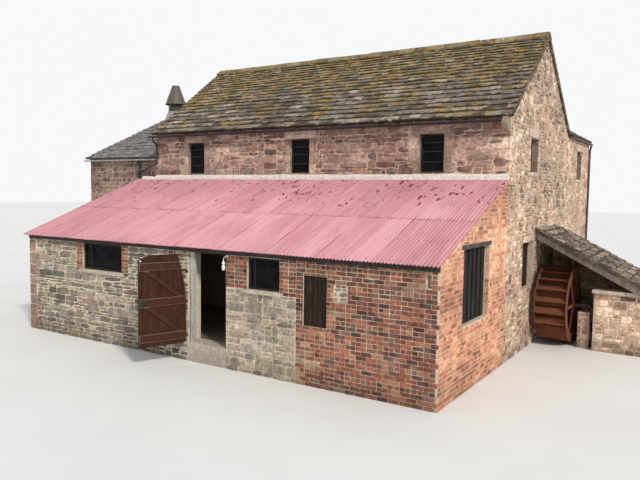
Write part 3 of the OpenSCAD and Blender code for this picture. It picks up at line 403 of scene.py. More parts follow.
SANDSTONE = [(0.0, (0.21, 0.105, 0.08)), (0.2, (0.27, 0.145, 0.11)), (0.45, (0.37, 0.215, 0.165)),
             (0.62, (0.30, 0.21, 0.175)), (0.8, (0.46, 0.29, 0.225)), (1.0, (0.56, 0.40, 0.32))]
BUFF = [(0.0, (0.24, 0.14, 0.095)), (0.18, (0.42, 0.27, 0.18)), (0.45, (0.55, 0.38, 0.265)),
        (0.7, (0.60, 0.43, 0.33)), (1.0, (0.78, 0.62, 0.48))]
RUBBLE = [(0.0, (0.17, 0.15, 0.125)), (0.22, (0.25, 0.21, 0.165)), (0.27, (0.36, 0.19, 0.135)),
          (0.31, (0.29, 0.245, 0.19)), (0.55, (0.36, 0.30, 0.23)), (0.72, (0.25, 0.235, 0.21)),
          (0.88, (0.42, 0.34, 0.25)), (1.0, (0.48, 0.40, 0.30))]
BRICK = [(0.0, (0.11, 0.040, 0.034)), (0.16, (0.21, 0.064, 0.040)), (0.5, (0.31, 0.095, 0.050)),
         (0.8, (0.38, 0.145, 0.075)), (0.93, (0.42, 0.21, 0.12)), (1.0, (0.46, 0.31, 0.20))]
SIDE_BRICK = [(0.0, (0.30, 0.105, 0.065)), (0.2, (0.58, 0.23, 0.13)), (0.7, (0.76, 0.36, 0.21)),
              (1.0, (0.88, 0.55, 0.36))]
MOSSY = [(0.0, (0.085, 0.066, 0.050)), (0.3, (0.17, 0.132, 0.10)), (0.65, (0.255, 0.20, 0.152)),
         (1.0, (0.39, 0.325, 0.265))]
GREY = [(0.0, (0.18, 0.162, 0.162)), (0.5, (0.22, 0.20, 0.20)), (1.0, (0.27, 0.25, 0.245))]
DRESSED = [(0.0, (0.34, 0.22, 0.17)), (0.5, (0.45, 0.32, 0.25)), (1.0, (0.56, 0.43, 0.35))]

sandstone = laid_stone("red sandstone rubble", SANDSTONE, (0.46, 0.38, 0.34), 0.5,
                       mortar=(0.58, 0.44, 0.35), smear=0.4)
kiln_sandstone = laid_stone("kiln sandstone rubble", dimmed(SANDSTONE, (0.72, 0.72, 0.72)),
                            (0.46, 0.38, 0.34), 0.6, mortar=(0.42, 0.31, 0.25))
buff_stone = laid_stone("buff sandstone rubble", BUFF, (0.50, 0.41, 0.34), 0.45, mortar=(0.70, 0.57, 0.45),
                        bloom=(0.74, 0.60, 0.48), high=(4.6, 7.6))
grey_rubble = laid_stone("grey lean-to rubble", RUBBLE, (0.52, 0.48, 0.42), 0.4, mortar=(0.60, 0.54, 0.44))
brickwork = laid_stone("red brick", BRICK, (0.40, 0.30, 0.28), 0.5, 60.0,
                       mortar=(0.62, 0.52, 0.40), bloom=(0.70, 0.56, 0.44), smear=0.4)
side_brick = laid_stone("orange side brick", SIDE_BRICK, (0.62, 0.50, 0.42), 0.4, 60.0,
                        mortar=(0.74, 0.60, 0.46), bloom=(0.86, 0.66, 0.48), smear=0.5)
dressed = laid_stone("dressed sandstone", DRESSED, (0.6, 0.52, 0.46), 0.35, 50.0, smear=0.2)
mill_mortar = lime("mill mortar", (0.66, 0.50, 0.39), (0.40, 0.32, 0.27), 0.7)
kiln_mortar = lime("kiln mortar", (0.50, 0.37, 0.29), (0.44, 0.36, 0.31), 0.7)
gable_mortar = lime("gable mortar", (0.62, 0.48, 0.37), (0.50, 0.40, 0.33), 0.6, kneeler=True)
lean_mortar = lime("lean-to mortar", (0.78, 0.66, 0.50), (0.40, 0.34, 0.28), 0.7)
brick_mortar = lime("brick mortar", (0.68, 0.58, 0.45), (0.55, 0.46, 0.4), 0.6)
white_lime = lime("lime fillet", (0.84, 0.77, 0.70), (0.66, 0.60, 0.54), 0.35)
pale_stone = lime("pale dressed stone", (0.60, 0.53, 0.44), (0.55, 0.5, 0.44), 0.6, 40.0)
flagstone = lime("worn flagstones", (0.30, 0.27, 0.23), (0.5, 0.45, 0.4), 0.7, 30.0)
mossy_slate = roof_slate("mossy stone slate", MOSSY, (0.37, 0.225, 0.045), 1.0,
                         (0.075, 0.062, 0.026), 0.35)
ridge_slate = roof_slate("ridge stone", MOSSY, (0.34, 0.23, 0.06), 1.35, (0.09, 0.08, 0.03), 0.35)
wing_slate = roof_slate("wing stone slate", MOSSY, (0.30, 0.20, 0.07), 0.6, (0.08, 0.07, 0.03), 0.25)
kiln_slate = roof_slate("grey kiln slate", GREY, (0.30, 0.27, 0.20), 0.15, (0.12, 0.11, 0.08), 0.0,
                        (0.66, 0.62, 0.60), head=0.85)
wheelhouse_slate = roof_slate("wheelhouse stone slate", dimmed(MOSSY, (1.12, 1.05, 0.95)),
                              (0.30, 0.25, 0.16), 0.35, (0.09, 0.08, 0.05), 0.25, low=1.5, high=3.0)
door_wood = timber("brown door boards", (0.036, 0.013, 0.007), (0.070, 0.026, 0.0145), (0.12, 0.055, 0.032),
                   0.25, 0.85, Specular_IOR_Level=0.2)
hatch_wood = timber("hatch boards", (0.016, 0.009, 0.007), (0.042, 0.024, 0.017), (0.11, 0.078, 0.058),
                    0.3, 0.85, Specular_IOR_Level=0.2)
grey_wood = timber("weathered timber", (0.022, 0.018, 0.015), (0.075, 0.064, 0.054), (0.22, 0.19, 0.16), 0.35)
tarred_wood = timber("tarred eaves board", (0.018, 0.015, 0.013), (0.05, 0.044, 0.038), (0.12, 0.10, 0.085),
                     0.3)
frame_wood = timber("dark window frames", (0.006, 0.004, 0.0035), (0.017, 0.012, 0.010), (0.06, 0.045, 0.036),
                    0.15)
slat_wood = timber("dark slatted boards", (0.010, 0.007, 0.006), (0.030, 0.022, 0.019), (0.10, 0.08, 0.068),
                   0.35, Specular_IOR_Level=0.2)
post_wood = timber("white painted post", (0.34, 0.33, 0.31), (0.52, 0.51, 0.48), (0.26, 0.23, 0.19), 0.5)
barge_wood = timber("barge rafters", (0.12, 0.098, 0.078), (0.25, 0.21, 0.17), (0.16, 0.13, 0.10), 0.4)
floor_wood = timber("floor boards", (0.10, 0.07, 0.045), (0.24, 0.18, 0.12), (0.3, 0.26, 0.2), 0.3)
black_iron = painted_iron("black iron", (0.014, 0.014, 0.015), 0.15)
brown_paint = painted_iron("brown gutter paint", (0.075, 0.035, 0.024), 0.3)
rusty_iron = painted_iron("rusty wheel iron", (0.10, 0.030, 0.012), 1.3, 0.8)
lead = painted_iron("lead grey", (0.36, 0.36, 0.355), 0.0, 0.5, 0.3)
cowl_iron = painted_iron("cowl iron", (0.085, 0.072, 0.062), 0.3, 0.6, 0.2)
enamel = painted_iron("white enamel", (0.72, 0.72, 0.70), 0.05, 0.3)


def drum_build(w):
    """Lead dressed round the foot of an iron drum."""
    above = w.range(w.axis(w.where(), "Z"), LEAD_TOP_Z, LEAD_TOP_Z + 0.015)
    worn = w.range(w.noise(w.where((1, 1, 0.3)), 7.0, 5, 0.7), 0.35, 0.65)
    rust = w.use(RUST, Colour=(0.05, 0.045, 0.042), Amount=0.4)
    return {"colour": w.mix(above, w.mix(worn, (0.22, 0.215, 0.21), (0.42, 0.41, 0.40)), rust["Colour"]),
            "rough": w.range(worn, 0, 1, 0.45, 0.7), "height": worn, "strength": 0.2, "deep": 0.004}


drum_metal = finish("iron drum with lead foot", drum_build, 0.6, Metallic=0.2)


def glass_build(w):
    """Glass painted nearly black for the shade of the room behind it, with a faint haze."""
    haze = w.range(w.noise(w.where(), 3.0, 4, 0.6), 0.3, 0.7)
    return {"colour": w.mix(haze, (0.003, 0.0035, 0.004), (0.010, 0.011, 0.0115)),
            "rough": w.range(haze, 0, 1, 0.04, 0.16)}


pane = finish("old window glass", glass_build, 0.08, Specular_IOR_Level=0.05)


# Units laid in courses: stones, bricks, slates

def unit_shape(name, rings, faces, jitter, seed):
    """A repeated shape whose points are A times its size plus B, so that its edges keep their width."""
    rng = random.Random(seed)
    mesh = bpy.data.meshes.new(name)
    mesh.from_pydata([(a[0] * 0.1, a[1] * 0.1, a[2] * 0.1) for a, b, r in rings], [], faces)
    wobble = {}
    for key, domain in (("part_a", "FLOAT_VECTOR"), ("part_b", "FLOAT_VECTOR"), ("rim", "FLOAT")):
        mesh.attributes.new(key, domain, "POINT")
    for i, (a, b, r) in enumerate(rings):
        key = (round(a[0], 2), round(a[2], 2))
        if key not in wobble:
            wobble[key] = (rng.uniform(-1, 1) * jitter, rng.uniform(-1, 1) * jitter)
        du, dv = wobble[key]
        dy = rng.uniform(-0.4, 0.4) * jitter
        mesh.attributes["part_a"].data[i].vector = a
        mesh.attributes["part_b"].data[i].vector = (b[0] + du, b[1] + dy, b[2] + dv)
        mesh.attributes["rim"].data[i].value = r
    return bpy.data.objects.new(name, mesh)


def stone_shape(seed, bevel=0.012, bulge=0.007, jitter=0.009, cuts=(0.001, 0.005, 0.014)):
    """Rough faced stone: a bulging three by three face, a rounded rim and sides that run into the wall."""
    pts, faces = [], []
    rng = random.Random(seed + 70)
    cut = {(u, v): rng.choice(cuts) for u in (-1, 1) for v in (-1, 1)}
    for v in (-1, 0, 1):
        for u in (-1, 0, 1):
            k = bevel + cut.get((u, v), 0.0)
            pts.append(((u * 0.5, 0, v * 0.5), (-u * k, -bulge if u == v == 0 else 0, -v * k), 0.0))
    loop = [(-1, -1), (0, -1), (1, -1), (1, 0), (1, 1), (0, 1), (-1, 1), (-1, 0)]
    inner = [0, 1, 2, 5, 8, 7, 6, 3]
    for depth, b in ((0, bevel), (1, 0)):
        for u, v in loop:
            k = cut.get((u, v), 0.0)
            pts.append(((u * 0.5, depth, v * 0.5), (-u * k, b, -v * k), 1.0))
    for v in (0, 1):
        for u in (0, 1):
            i = v * 3 + u
            faces.append((i, i + 1, i + 4, i + 3))
    for i in range(8):
        j = (i + 1) % 8
        faces.append((inner[j], inner[i], 9 + i, 9 + j))
        faces.append((9 + j, 9 + i, 17 + i, 17 + j))
    return unit_shape("stone shape", pts, faces, jitter, seed)


def brick_shape(seed):
    """Pressed brick: a flat face with a narrow worn arris."""
    pts, faces = [], []
    loop = [(-1, -1), (1, -1), (1, 1), (-1, 1)]
    for depth, inset, b, rim in ((0, 0.005, 0, 0.0), (0, 0.0, 0.005, 1.0), (1, 0.0, 0, 1.0)):
        for u, v in loop:
            pts.append(((u * 0.5, depth, v * 0.5), (-u * inset, b, -v * inset), rim))
    faces.append((0, 1, 2, 3))
    for i in range(4):
        j = (i + 1) % 4
        faces.append((j, i, 4 + i, 4 + j))
        faces.append((4 + j, 4 + i, 8 + i, 8 + j))
    return unit_shape("brick shape", pts, faces, 0.0022, seed)


def slate_shape(seed, ragged=0.012):
    """Slate: a thin slab with a ragged tail and one clipped corner."""
    rng = random.Random(seed + 40)
    us = (-1, -0.35, 0.3, 1)
    tail = [rng.uniform(0, ragged) for u in us]
    tail[rng.choice((0, 3))] += ragged
    pts, faces = [], []
    for i, u in enumerate(us):
        pts.append(((u * 0.5, 0, -0.5), (0, 0, tail[i] + 0.004), 1.0))
    for u in us:
        pts.append(((u * 0.5, 0, 0.5), (0, 0, 0), 0.0))
    for i, u in enumerate(us):
        pts.append(((u * 0.5, 0, -0.5), (0, 0.006, tail[i]), 1.0))
    for i, u in enumerate(us):
        pts.append(((u * 0.5, 1, -0.5), (0, 0, tail[i]), 1.0))
    for u in (-1, 1):
        pts.append(((u * 0.5, 1, 0.5), (0, 0, 0), 0.0))
    for i in range(3):
        faces += [(i, i + 1, i + 5, i + 4), (i + 1, i, i + 8, i + 9), (i + 9, i + 8, i + 12, i + 13)]
    faces += [(0, 4, 16, 12, 8), (7, 3, 11, 15, 17)]
    return unit_shape("slate shape", pts, faces, 0.0035, seed)


def block_shape(seed, bevel=0.016, jitter=0.008):
    """Corner block: a box with worn arrises, seen from two sides."""
    pts, index = [], {}
    for a in (-1, 1):
        for b in (-1, 1):
            for c in (-1, 1):
                for k in range(3):
                    inset = [-a * bevel, -b * bevel, -c * bevel]
                    inset[k] = 0.0
                    index[(a, b, c, k)] = len(pts)
                    pts.append(((a * 0.5, b * 0.5, c * 0.5), tuple(inset), 0.4))
    faces = []
    for k in range(3):
        i, j = [n for n in range(3) if n != k]
        for s in (-1, 1):
            ring = []
            for p, q in ((-1, -1), (1, -1), (1, 1), (-1, 1)):
                corner = [0, 0, 0]
                corner[k], corner[i], corner[j] = s, p, q
                ring.append(index[(*corner, k)])
            faces.append(tuple(ring))
    for k in range(3):
        i, j = [n for n in range(3) if n != k]
        for p in (-1, 1):
            for q in (-1, 1):
                ends = []
                for s in (-1, 1):
                    corner = [0, 0, 0]
                    corner[k], corner[i], corner[j] = s, p, q
                    ends.append((index[(*corner, i)], index[(*corner, j)]))
                faces.append((ends[0][0], ends[0][1], ends[1][1], ends[1][0]))
    for a in (-1, 1):
        for b in (-1, 1):
            for c in (-1, 1):
                faces.append(tuple(index[(a, b, c, k)] for k in range(3)))
    return unit_shape("block shape", pts, faces, jitter, seed)


def ridge_shape(seed):
    """Ridge stone: a bent slab astride the ridge, with worn ends."""
    outline = [(-0.2, -0.147), (0, 0.002), (0.2, -0.147), (0.207, -0.112), (0.024, 0.036), (-0.024, 0.036),
               (-0.207, -0.112)]
    pts, faces, n = [], [], len(outline)
    for end, inset, shrink in ((-1, 0.0, 0.90), (-1, 0.010, 1.0), (1, -0.010, 1.0), (1, 0.0, 0.90)):
        for i, (y, z) in enumerate(outline):
            top = z * (shrink if i >= 3 else 1.0)
            pts.append(((end * 0.5, 0, 0), (inset, y, top), 1.0 if shrink < 1 else 0.2))
    for k in range(3):
        for i in range(n):
            j = (i + 1) % n
            faces.append((k * n + i, k * n + j, k * n + n + j, k * n + n + i))
    faces += [tuple(range(n - 1, -1, -1)), tuple(range(3 * n, 4 * n))]
    return unit_shape("ridge shape", pts, faces, 0.0, seed)


def kind_set(name, makers):
    group = bpy.data.collections.new(name)
    for i, o in enumerate(makers):
        o.name = f"{name} {i}"
        group.objects.link(o)
    return group


STONES = kind_set("rubble stones", [stone_shape(s) for s in range(8)])
ROUGH_STONES = kind_set("rough rubble stones", [
    stone_shape(s + 20, 0.011, 0.010, 0.010, (0.002, 0.006, 0.012, 0.022)) for s in range(8)])
BRICKS = kind_set("bricks", [brick_shape(s) for s in range(4)])
SLATES = kind_set("slates", [slate_shape(s) for s in range(6)])
BLOCKS = kind_set("corner blocks", [block_shape(s) for s in range(4)])
RIDGES = kind_set("ridge stones", [ridge_shape(s) for s in range(2)])


def course_tree():
    """Lays a repeated shape at each point, sizes and turns it by the point's values, and roughens it."""
    tree = bpy.data.node_groups.new("Laid courses", "GeometryNodeTree")
    face = tree.interface
    face.new_socket("Geometry", in_out="INPUT", socket_type="NodeSocketGeometry")
    for label, kind in (("Shapes", "Collection"), ("Finish", "Material"), ("Roughness", "Float"),
                        ("Grain", "Float"), ("Seed", "Float")):
        face.new_socket(label, in_out="INPUT", socket_type="NodeSocket" + kind)
    face.new_socket("Geometry", in_out="OUTPUT", socket_type="NodeSocketGeometry")

    def node(kind, **settings):
        n = tree.nodes.new(kind)
        for key, value in settings.items():
            setattr(n, key, value)
        return n

    def link(a, b):
        tree.links.new(a, b)

    def named(label, kind="FLOAT_VECTOR"):
        n = node("GeometryNodeInputNamedAttribute", data_type=kind)
        n.inputs["Name"].default_value = label
        return n.outputs["Attribute"]

    def vector(op, a, b):
        n = node("ShaderNodeVectorMath", operation=op)
        for socket, value in zip(n.inputs, (a, b)):
            if isinstance(value, bpy.types.NodeSocket):
                link(value, socket)
            else:
                socket.default_value = value
        return n.outputs[0]

    given = node("NodeGroupInput").outputs
    keep = node("GeometryNodeStoreNamedAttribute", data_type="FLOAT_VECTOR", domain="POINT")
    keep.inputs["Name"].default_value = "centre"
    link(given["Geometry"], keep.inputs["Geometry"])
    link(node("GeometryNodeInputPosition").outputs[0], keep.inputs["Value"])
    shapes = node("GeometryNodeCollectionInfo")
    shapes.inputs["Separate Children"].default_value = True
    shapes.inputs["Reset Children"].default_value = True
    link(given["Shapes"], shapes.inputs["Collection"])
    lay = node("GeometryNodeInstanceOnPoints")
    lay.inputs["Pick Instance"].default_value = True
    link(keep.outputs[0], lay.inputs["Points"])
    link(shapes.outputs[0], lay.inputs["Instance"])
    link(named("kind", "INT"), lay.inputs["Instance Index"])
    real = node("GeometryNodeRealizeInstances")
    link(lay.outputs[0], real.inputs[0])
    turn = node("FunctionNodeEulerToRotation")
    link(named("turn"), turn.inputs[0])
    rotate = node("FunctionNodeRotateVector")
    stretched = vector("MULTIPLY", named("part_a"), named("size"))
    link(vector("ADD", stretched, named("part_b")), rotate.inputs["Vector"])
    link(turn.outputs[0], rotate.inputs["Rotation"])
    place = node("GeometryNodeSetPosition")
    link(real.outputs[0], place.inputs["Geometry"])
    link(vector("ADD", rotate.outputs[0], named("centre")), place.inputs["Position"])
    noise = node("ShaderNodeTexNoise", noise_dimensions="4D")
    link(node("GeometryNodeInputPosition").outputs[0], noise.inputs["Vector"])
    link(given["Grain"], noise.inputs["Scale"])
    link(given["Seed"], noise.inputs["W"])
    noise.inputs["Detail"].default_value = 2.0
    spread = vector("SUBTRACT", noise.outputs["Color"], (0.5, 0.5, 0.5))
    sized = node("ShaderNodeVectorMath", operation="SCALE")
    link(spread, sized.inputs[0])
    link(given["Roughness"], sized.inputs["Scale"])
    rough = node("GeometryNodeSetPosition")
    link(place.outputs[0], rough.inputs["Geometry"])
    link(sized.outputs[0], rough.inputs["Offset"])
    skin = node("GeometryNodeSetMaterial")
    link(rough.outputs[0], skin.inputs["Geometry"])
    link(given["Finish"], skin.inputs["Material"])
    link(skin.outputs[0], node("NodeGroupOutput").inputs[0])
    return tree


COURSES = course_tree()


def settle(obj, material, cuts=()):
    """Turns an object with a node modifier into a plain mesh of one material at the origin, cut by planes."""
    bpy.context.scene.collection.objects.link(obj)
    view = bpy.context.evaluated_depsgraph_get()
    mesh = bpy.data.meshes.new_from_object(obj.evaluated_get(view), preserve_all_data_layers=True,
                                           depsgraph=view)
    obj.modifiers.clear()
    obj.data = mesh
    for label in ("size", "turn", "centre", "part_a", "part_b", "kind", "split"):
        if label in mesh.attributes:
            mesh.attributes.remove(mesh.attributes[label])
    mesh.materials.clear()
    mesh.materials.append(material)
    mesh.polygons.foreach_set("material_index", [0] * len(mesh.polygons))
    if cuts:
        bm = bmesh.new()
        bm.from_mesh(mesh)
        for point, normal in cuts:
            bmesh.ops.bisect_plane(bm, geom=bm.verts[:] + bm.edges[:] + bm.faces[:], plane_co=point,
                                   plane_no=normal, clear_outer=True)
        bm.to_mesh(mesh)
        bm.free()
    return obj


def lay(name, units, shapes, material, slot, rough=0.006, grain=9.0, cuts=(), body="mill", smooth=False):
    """One piece from a list of units: (place, size, turn, tint, shade, kind)."""
    mesh = bpy.data.meshes.new(name)
    mesh.from_pydata([u[0] for u in units], [], [])
    for label, kind, i in (("size", "FLOAT_VECTOR", 1), ("turn", "FLOAT_VECTOR", 2), ("tint", "FLOAT", 3),
                           ("shade", "FLOAT", 4), ("kind", "INT", 5)):
        data = mesh.attributes.new(label, kind, "POINT").data
        for k, u in enumerate(units):
            setattr(data[k], "vector" if kind == "FLOAT_VECTOR" else "value", u[i])
    obj = bpy.data.objects.new(name, mesh)
    m = obj.modifiers.new("courses", "NODES")
    m.node_group = COURSES
    values = {"Shapes": shapes, "Finish": material, "Roughness": rough, "Grain": grain,
              "Seed": float(sum(map(ord, name)) % 97)}
    for item in COURSES.interface.items_tree:
        if item.in_out == "INPUT" and item.name in values:
            m[item.identifier] = values[item.name]
    settle(obj, material, cuts)
    if smooth:
        obj.data.shade_smooth()
    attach(obj, body)
    return obj


def add_piece(obj, body):
    """Links a finished object and rides it on a body."""
    bpy.context.scene.collection.objects.link(obj)
    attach(obj, body)
    return obj


def face_outwards(mesh):
    shell = bmesh.new()
    shell.from_mesh(mesh)
    bmesh.ops.recalc_face_normals(shell, faces=shell.faces[:])
    shell.to_mesh(mesh)
    shell.free()


def shift(rects, across):
    """Rectangles measured from a point that far along the wall."""
    return [(x0 - across, z0, x1 - across, z1) for x0, z0, x1, z1 in rects]


def minus(rects, holes):
    """Rectangles with every hole taken out of them."""
    for hx0, hz0, hx1, hz1 in holes:
        kept = []
        for x0, z0, x1, z1 in rects:
            if hx1 <= x0 or hx0 >= x1 or hz1 <= z0 or hz0 >= z1:
                kept.append((x0, z0, x1, z1))
                continue
            kept += [(x0, z0, hx0, z1), (hx1, z0, x1, z1)]
            a, b = max(x0, hx0), min(x1, hx1)
            kept += [(a, z0, b, hz0), (a, hz1, b, z1)]
        rects = [r for r in kept if r[2] - r[0] > 0.045 and r[3] - r[1] > 0.035]
    return rects


def rubble(rng, width, z0, z1, tall, wide, holes=()):
    """Rectangles of a randomly coursed rubble wall. Some stones are split into two or three thin ones,
    and some rise into the course above."""
    rects, rising, z = [], [], z0
    while z < z1 - 0.02:
        h = min(rng.uniform(*tall), z1 - z)
        if z1 - z - h < tall[0] * 0.5:
            h = z1 - z
        course, tops = [], []
        x = -rng.uniform(0, wide[1])
        while x < width:
            w = rng.uniform(*wide) * (0.75 + 0.5 * h / tall[1])
            a, b = max(x, 0.0), min(x + w, width)
            if b - a > 0.04:
                pick = rng.random()
                if pick > 0.85 and z + h < z1 - 0.16:
                    tops.append((a, z, b, z + h + rng.uniform(0.4, 0.8) * tall[0]))
                elif h > 0.62 * tall[1] and pick < 0.35:
                    m = z + h * rng.uniform(0.35, 0.65)
                    c = a + (b - a) * rng.uniform(0.3, 0.7)
                    if pick < 0.15 and b - a > 0.24:
                        course += [(a, z, b, m), (a, m, c, z + h), (c, m, b, z + h)]
                    else:
                        course += [(a, z, b, m), (a, m, b, z + h)]
                else:
                    course.append((a, z, b, z + h))
            x += w
        tops = minus(tops, rising)
        rects += minus(course, rising) + tops
        rising = tops
        z += h
    return minus(rects, holes)


def bond(width, z0, z1, holes=(), start=0):
    """Rectangles of brickwork: three rows of stretchers to one of headers."""
    rects, row, z = [], start, z0
    while z < z1 - 0.01:
        header = row % 4 == 3
        w = HEADER if header else STRETCHER
        x = -w * (0.5 if row % 2 else 0.0) - (0.056 if header else 0.0)
        while x < width:
            a, b = max(x, 0.0), min(x + w, width)
            if b - a > 0.03:
                rects.append((a, z, b, min(z + BRICK_COURSE, z1)))
            x += w
        z += BRICK_COURSE
        row += 1
    return minus(rects, holes)


def brick_block(x0, x1, z0, z1):
    """Bricks beside or over an opening, in courses of stretchers and headers by turns."""
    rects, row, z = [], 0, z0
    while z < z1 - 0.02:
        top = min(z + 0.083, z1)
        x = x0
        while x < x1 - 0.02:
            end = min(x + (HEADER if row % 2 else STRETCHER), x1)
            rects.append((x, z, end, top))
            x = end
        z, row = top, row + 1
    return rects


def jambs(rng, opening, tall, widths, below=0.0):
    """Dressed stones up both sides of an opening."""
    x0, z0, x1, z1 = opening
    rects = []
    for left in (True, False):
        z = z0 - below
        while z < z1 - 0.01:
            h = min(rng.uniform(*tall), z1 - z)
            w = rng.choice(widths)
            rects.append((x0 - w, z, x0, z + h) if left else (x1, z, x1 + w, z + h))
            z += h
    return rects


def clustered(rng, place, low, high, size=1.1):
    """A random tint that drifts slowly along the wall, so that like stones and bricks keep together."""
    drift = noise.noise(place / size) * 0.9
    return low + (high - low) * min(1.0, max(0.0, rng.random() + drift * 0.55))


def on_wall(rng, rects, start, heading, joint=0.014, proud=0.008, tint=(0, 1), shade=(0.66, 1.28),
            depth=0.045, kinds=8):
    """Turns a wall's rectangles into units; start is the wall's lower left corner seen from outside."""
    along = Vector((math.cos(heading), math.sin(heading), 0))
    out = Vector((math.sin(heading), -math.cos(heading), 0))
    units = []
    for x0, z0, x1, z1 in rects:
        gap = joint * rng.uniform(0.7, 1.5)
        w, h = x1 - x0 - gap, z1 - z0 - gap
        if w < 0.02 or h < 0.02:
            continue
        lift = proud * rng.uniform(0.5, 1.5)
        place = start + along * (x0 + x1) / 2 + Vector((0, 0, (z0 + z1) / 2)) + out * lift
        units.append((place, (w, depth, h), (rng.uniform(-0.012, 0.012), rng.uniform(-0.02, 0.02), heading),
                      clustered(rng, place, *tint), rng.uniform(*shade), rng.randrange(kinds)))
    return units


def coursed_wall(name, rng, start, heading, size, tall, wide, look, slot, rough=0.014, holes=(), cuts=()):
    """Rubble over a whole wall of a given length and height, as one piece."""
    length, top = size
    rects = rubble(rng, length, 0.0, top, tall, wide, holes)
    lay(name, on_wall(rng, rects, start, heading), STONES, look, slot, rough, cuts=cuts)


def quoins(rng, x, y, z0, z1, sides, tall=(0.24, 0.36), long=0.5, short=0.28):
    """Corner blocks, long and short in turn; sides gives the way into the building along X and Y."""
    units, z, flip = [], z0, rng.random() < 0.5
    while z < z1 - 0.08:
        h = min(rng.uniform(*tall), z1 - z)
        a, b = (long, short) if flip else (short, long)
        a, b = a * rng.uniform(0.85, 1.1), b * rng.uniform(0.85, 1.1)
        proud = 0.012
        place = at(x + sides[0] * (a / 2 - proud), y + sides[1] * (b / 2 - proud), z + h / 2)
        units.append((place, (a, b, h - 0.012), (0, 0, 0),
                      rng.random(), rng.uniform(0.85, 1.1), rng.randrange(4)))
        z += h
        flip = not flip
    return units


def tail_at(i, length, courses, growth):
    return length * (growth ** i - 1) / (growth ** courses - 1)


def slates(rng, ridge, heading, pitch, reach, courses, growth, spans, wide, thick=0.034, lift=0.009,
           ragged=0.01, shade=(0.55, 1.35)):
    """Slates of one slope. ridge is a point on its top edge; spans(near, far) gives the reach
    along the eave, from that point, of a course between two level distances from the ridge."""
    along = Vector((math.cos(heading), math.sin(heading), 0))
    out = Vector((math.sin(heading), -math.cos(heading), 0))
    length = reach / math.cos(pitch)
    down = out * math.cos(pitch) - Vector((0, 0, math.sin(pitch)))
    normal = out * math.sin(pitch) + Vector((0, 0, math.cos(pitch)))
    units = []
    for i in range(1, courses + 1):
        s0, s1 = tail_at(i - 1, length, courses, growth), tail_at(i, length, courses, growth)
        if i == 1:
            s0 = 0.02
        tilt = math.asin(min(0.4, LAP / (s1 - s0)))
        lo, hi = spans(s0 * math.cos(pitch), s1 * math.cos(pitch))
        k = (s1 - s0) / 0.2
        x = lo - rng.uniform(0, wide[0])
        while x < hi - 0.01:
            w = rng.uniform(*wide) * (0.6 + 0.4 * k)
            a, b = max(x, lo), min(x + w, hi)
            x += w
            if b - a < 0.035:
                continue
            slip = rng.uniform(-ragged, ragged)
            s, n = (s0 + s1) / 2 + slip - 0.008, -LAP / 2 + lift + rng.uniform(-0.004, 0.009)
            place = ridge + along * (a + b) / 2 + down * s + normal * n
            units.append((place, (b - a - 0.006, thick, (s1 - s0) + 0.016),
                          (pitch - tilt - math.pi / 2, rng.uniform(-0.012, 0.012), heading),
                          rng.random(), rng.uniform(*shade), rng.randrange(6)))
    return units


# Mill front above the lean-to
rng = random.Random(11)
mill_length = MILL_X[1] - MILL_X[0]
windows = [(c - 0.3, 4.25, c + 0.3, 5.15) for c in (2.414, 6.095, 9.808)]
window_heads = [(x0 - 0.2, z1, x1 + 0.2, z1 + 0.225) for x0, z0, x1, z1 in windows]
window_jambs = []
for window in windows:
    window_jambs += jambs(rng, window, (0.2, 0.36), (0.16, 0.2, 0.3, 0.36), below=0.02)
front_start = at(MILL_X[0], MILL_Y[0], 0)
holes = shift(windows + window_heads + window_jambs, MILL_X[0])
rects = rubble(rng, mill_length, 4.06, 5.46, (0.08, 0.23), (0.14, 0.5), holes)
units = on_wall(rng, rects, front_start, FRONT, joint=0.007, proud=0.011, shade=(0.66, 1.38))
lay("mill_front_stones", units, ROUGH_STONES, sandstone, "red_sandstone", rough=0.042, grain=6.0)
rects = shift(window_heads, MILL_X[0])
units = on_wall(rng, rects, front_start, FRONT, joint=0.006, proud=0.016, tint=(0.7, 1.0), shade=(0.95, 1.1))
rects = shift(window_jambs, MILL_X[0])
units += on_wall(rng, rects, front_start, FRONT, joint=0.012, proud=0.015, tint=(0.1, 0.9))
lay("mill_front_dressed_stones", units, STONES, dressed, "dressed_stone", rough=0.007)

# Gables, cut by the roof's underside
under_mill = [(at(0, RIDGE_Y, RIDGE_Z - 0.165), Vector((0, s * math.sin(PITCH), math.cos(PITCH))))
              for s in (-1, 1)]
mill_depth = 5.94
rng = random.Random(12)
gable_start = at(MILL_X[1], MILL_Y[0], 0)
gable_window = (1.69, 4.33, 2.37, 5.14)
gable_hatch = (1.33, 1.50, 2.34, 2.62)
owl_hole = (3.31, 6.90, 3.54, 7.09)
axle_hole = (2.81, 0.90, 3.05, 1.14)
surround = [(1.49, 5.14, 2.57, 5.375), (1.49, 4.2125, 2.57, 4.33), (1.25, 2.62, 2.42, 2.79)]
surround += jambs(rng, gable_window, (0.2, 0.34), (0.17, 0.2, 0.27))
holes = [gable_window, gable_hatch, owl_hole, axle_hole] + surround
rects = rubble(rng, mill_depth, 0.0, 7.9, (0.07, 0.16), (0.12, 0.31), holes)
units = on_wall(rng, rects, gable_start, RIGHT, joint=0.010, proud=0.011, shade=(0.58, 1.28))
lay("right_gable_stones", units, ROUGH_STONES, buff_stone, "buff_sandstone", rough=0.028, grain=8.0,
    cuts=under_mill)
rng = random.Random(13)
wing_depth = 3.34
wing_start = at(MILL_X[1], MILL_Y[1], 0)
wing_window = (1.36, 4.30, 2.04, 5.155)
wing_surround = [(1.16, 5.155, 2.24, 5.39), (1.16, 4.1825, 2.24, 4.30)]
wing_surround += jambs(rng, wing_window, (0.2, 0.34), (0.17, 0.2, 0.27))
units = on_wall(rng, surround, gable_start, RIGHT, joint=0.01, proud=0.017, tint=(0.75, 1.0),
                shade=(1.1, 1.35))
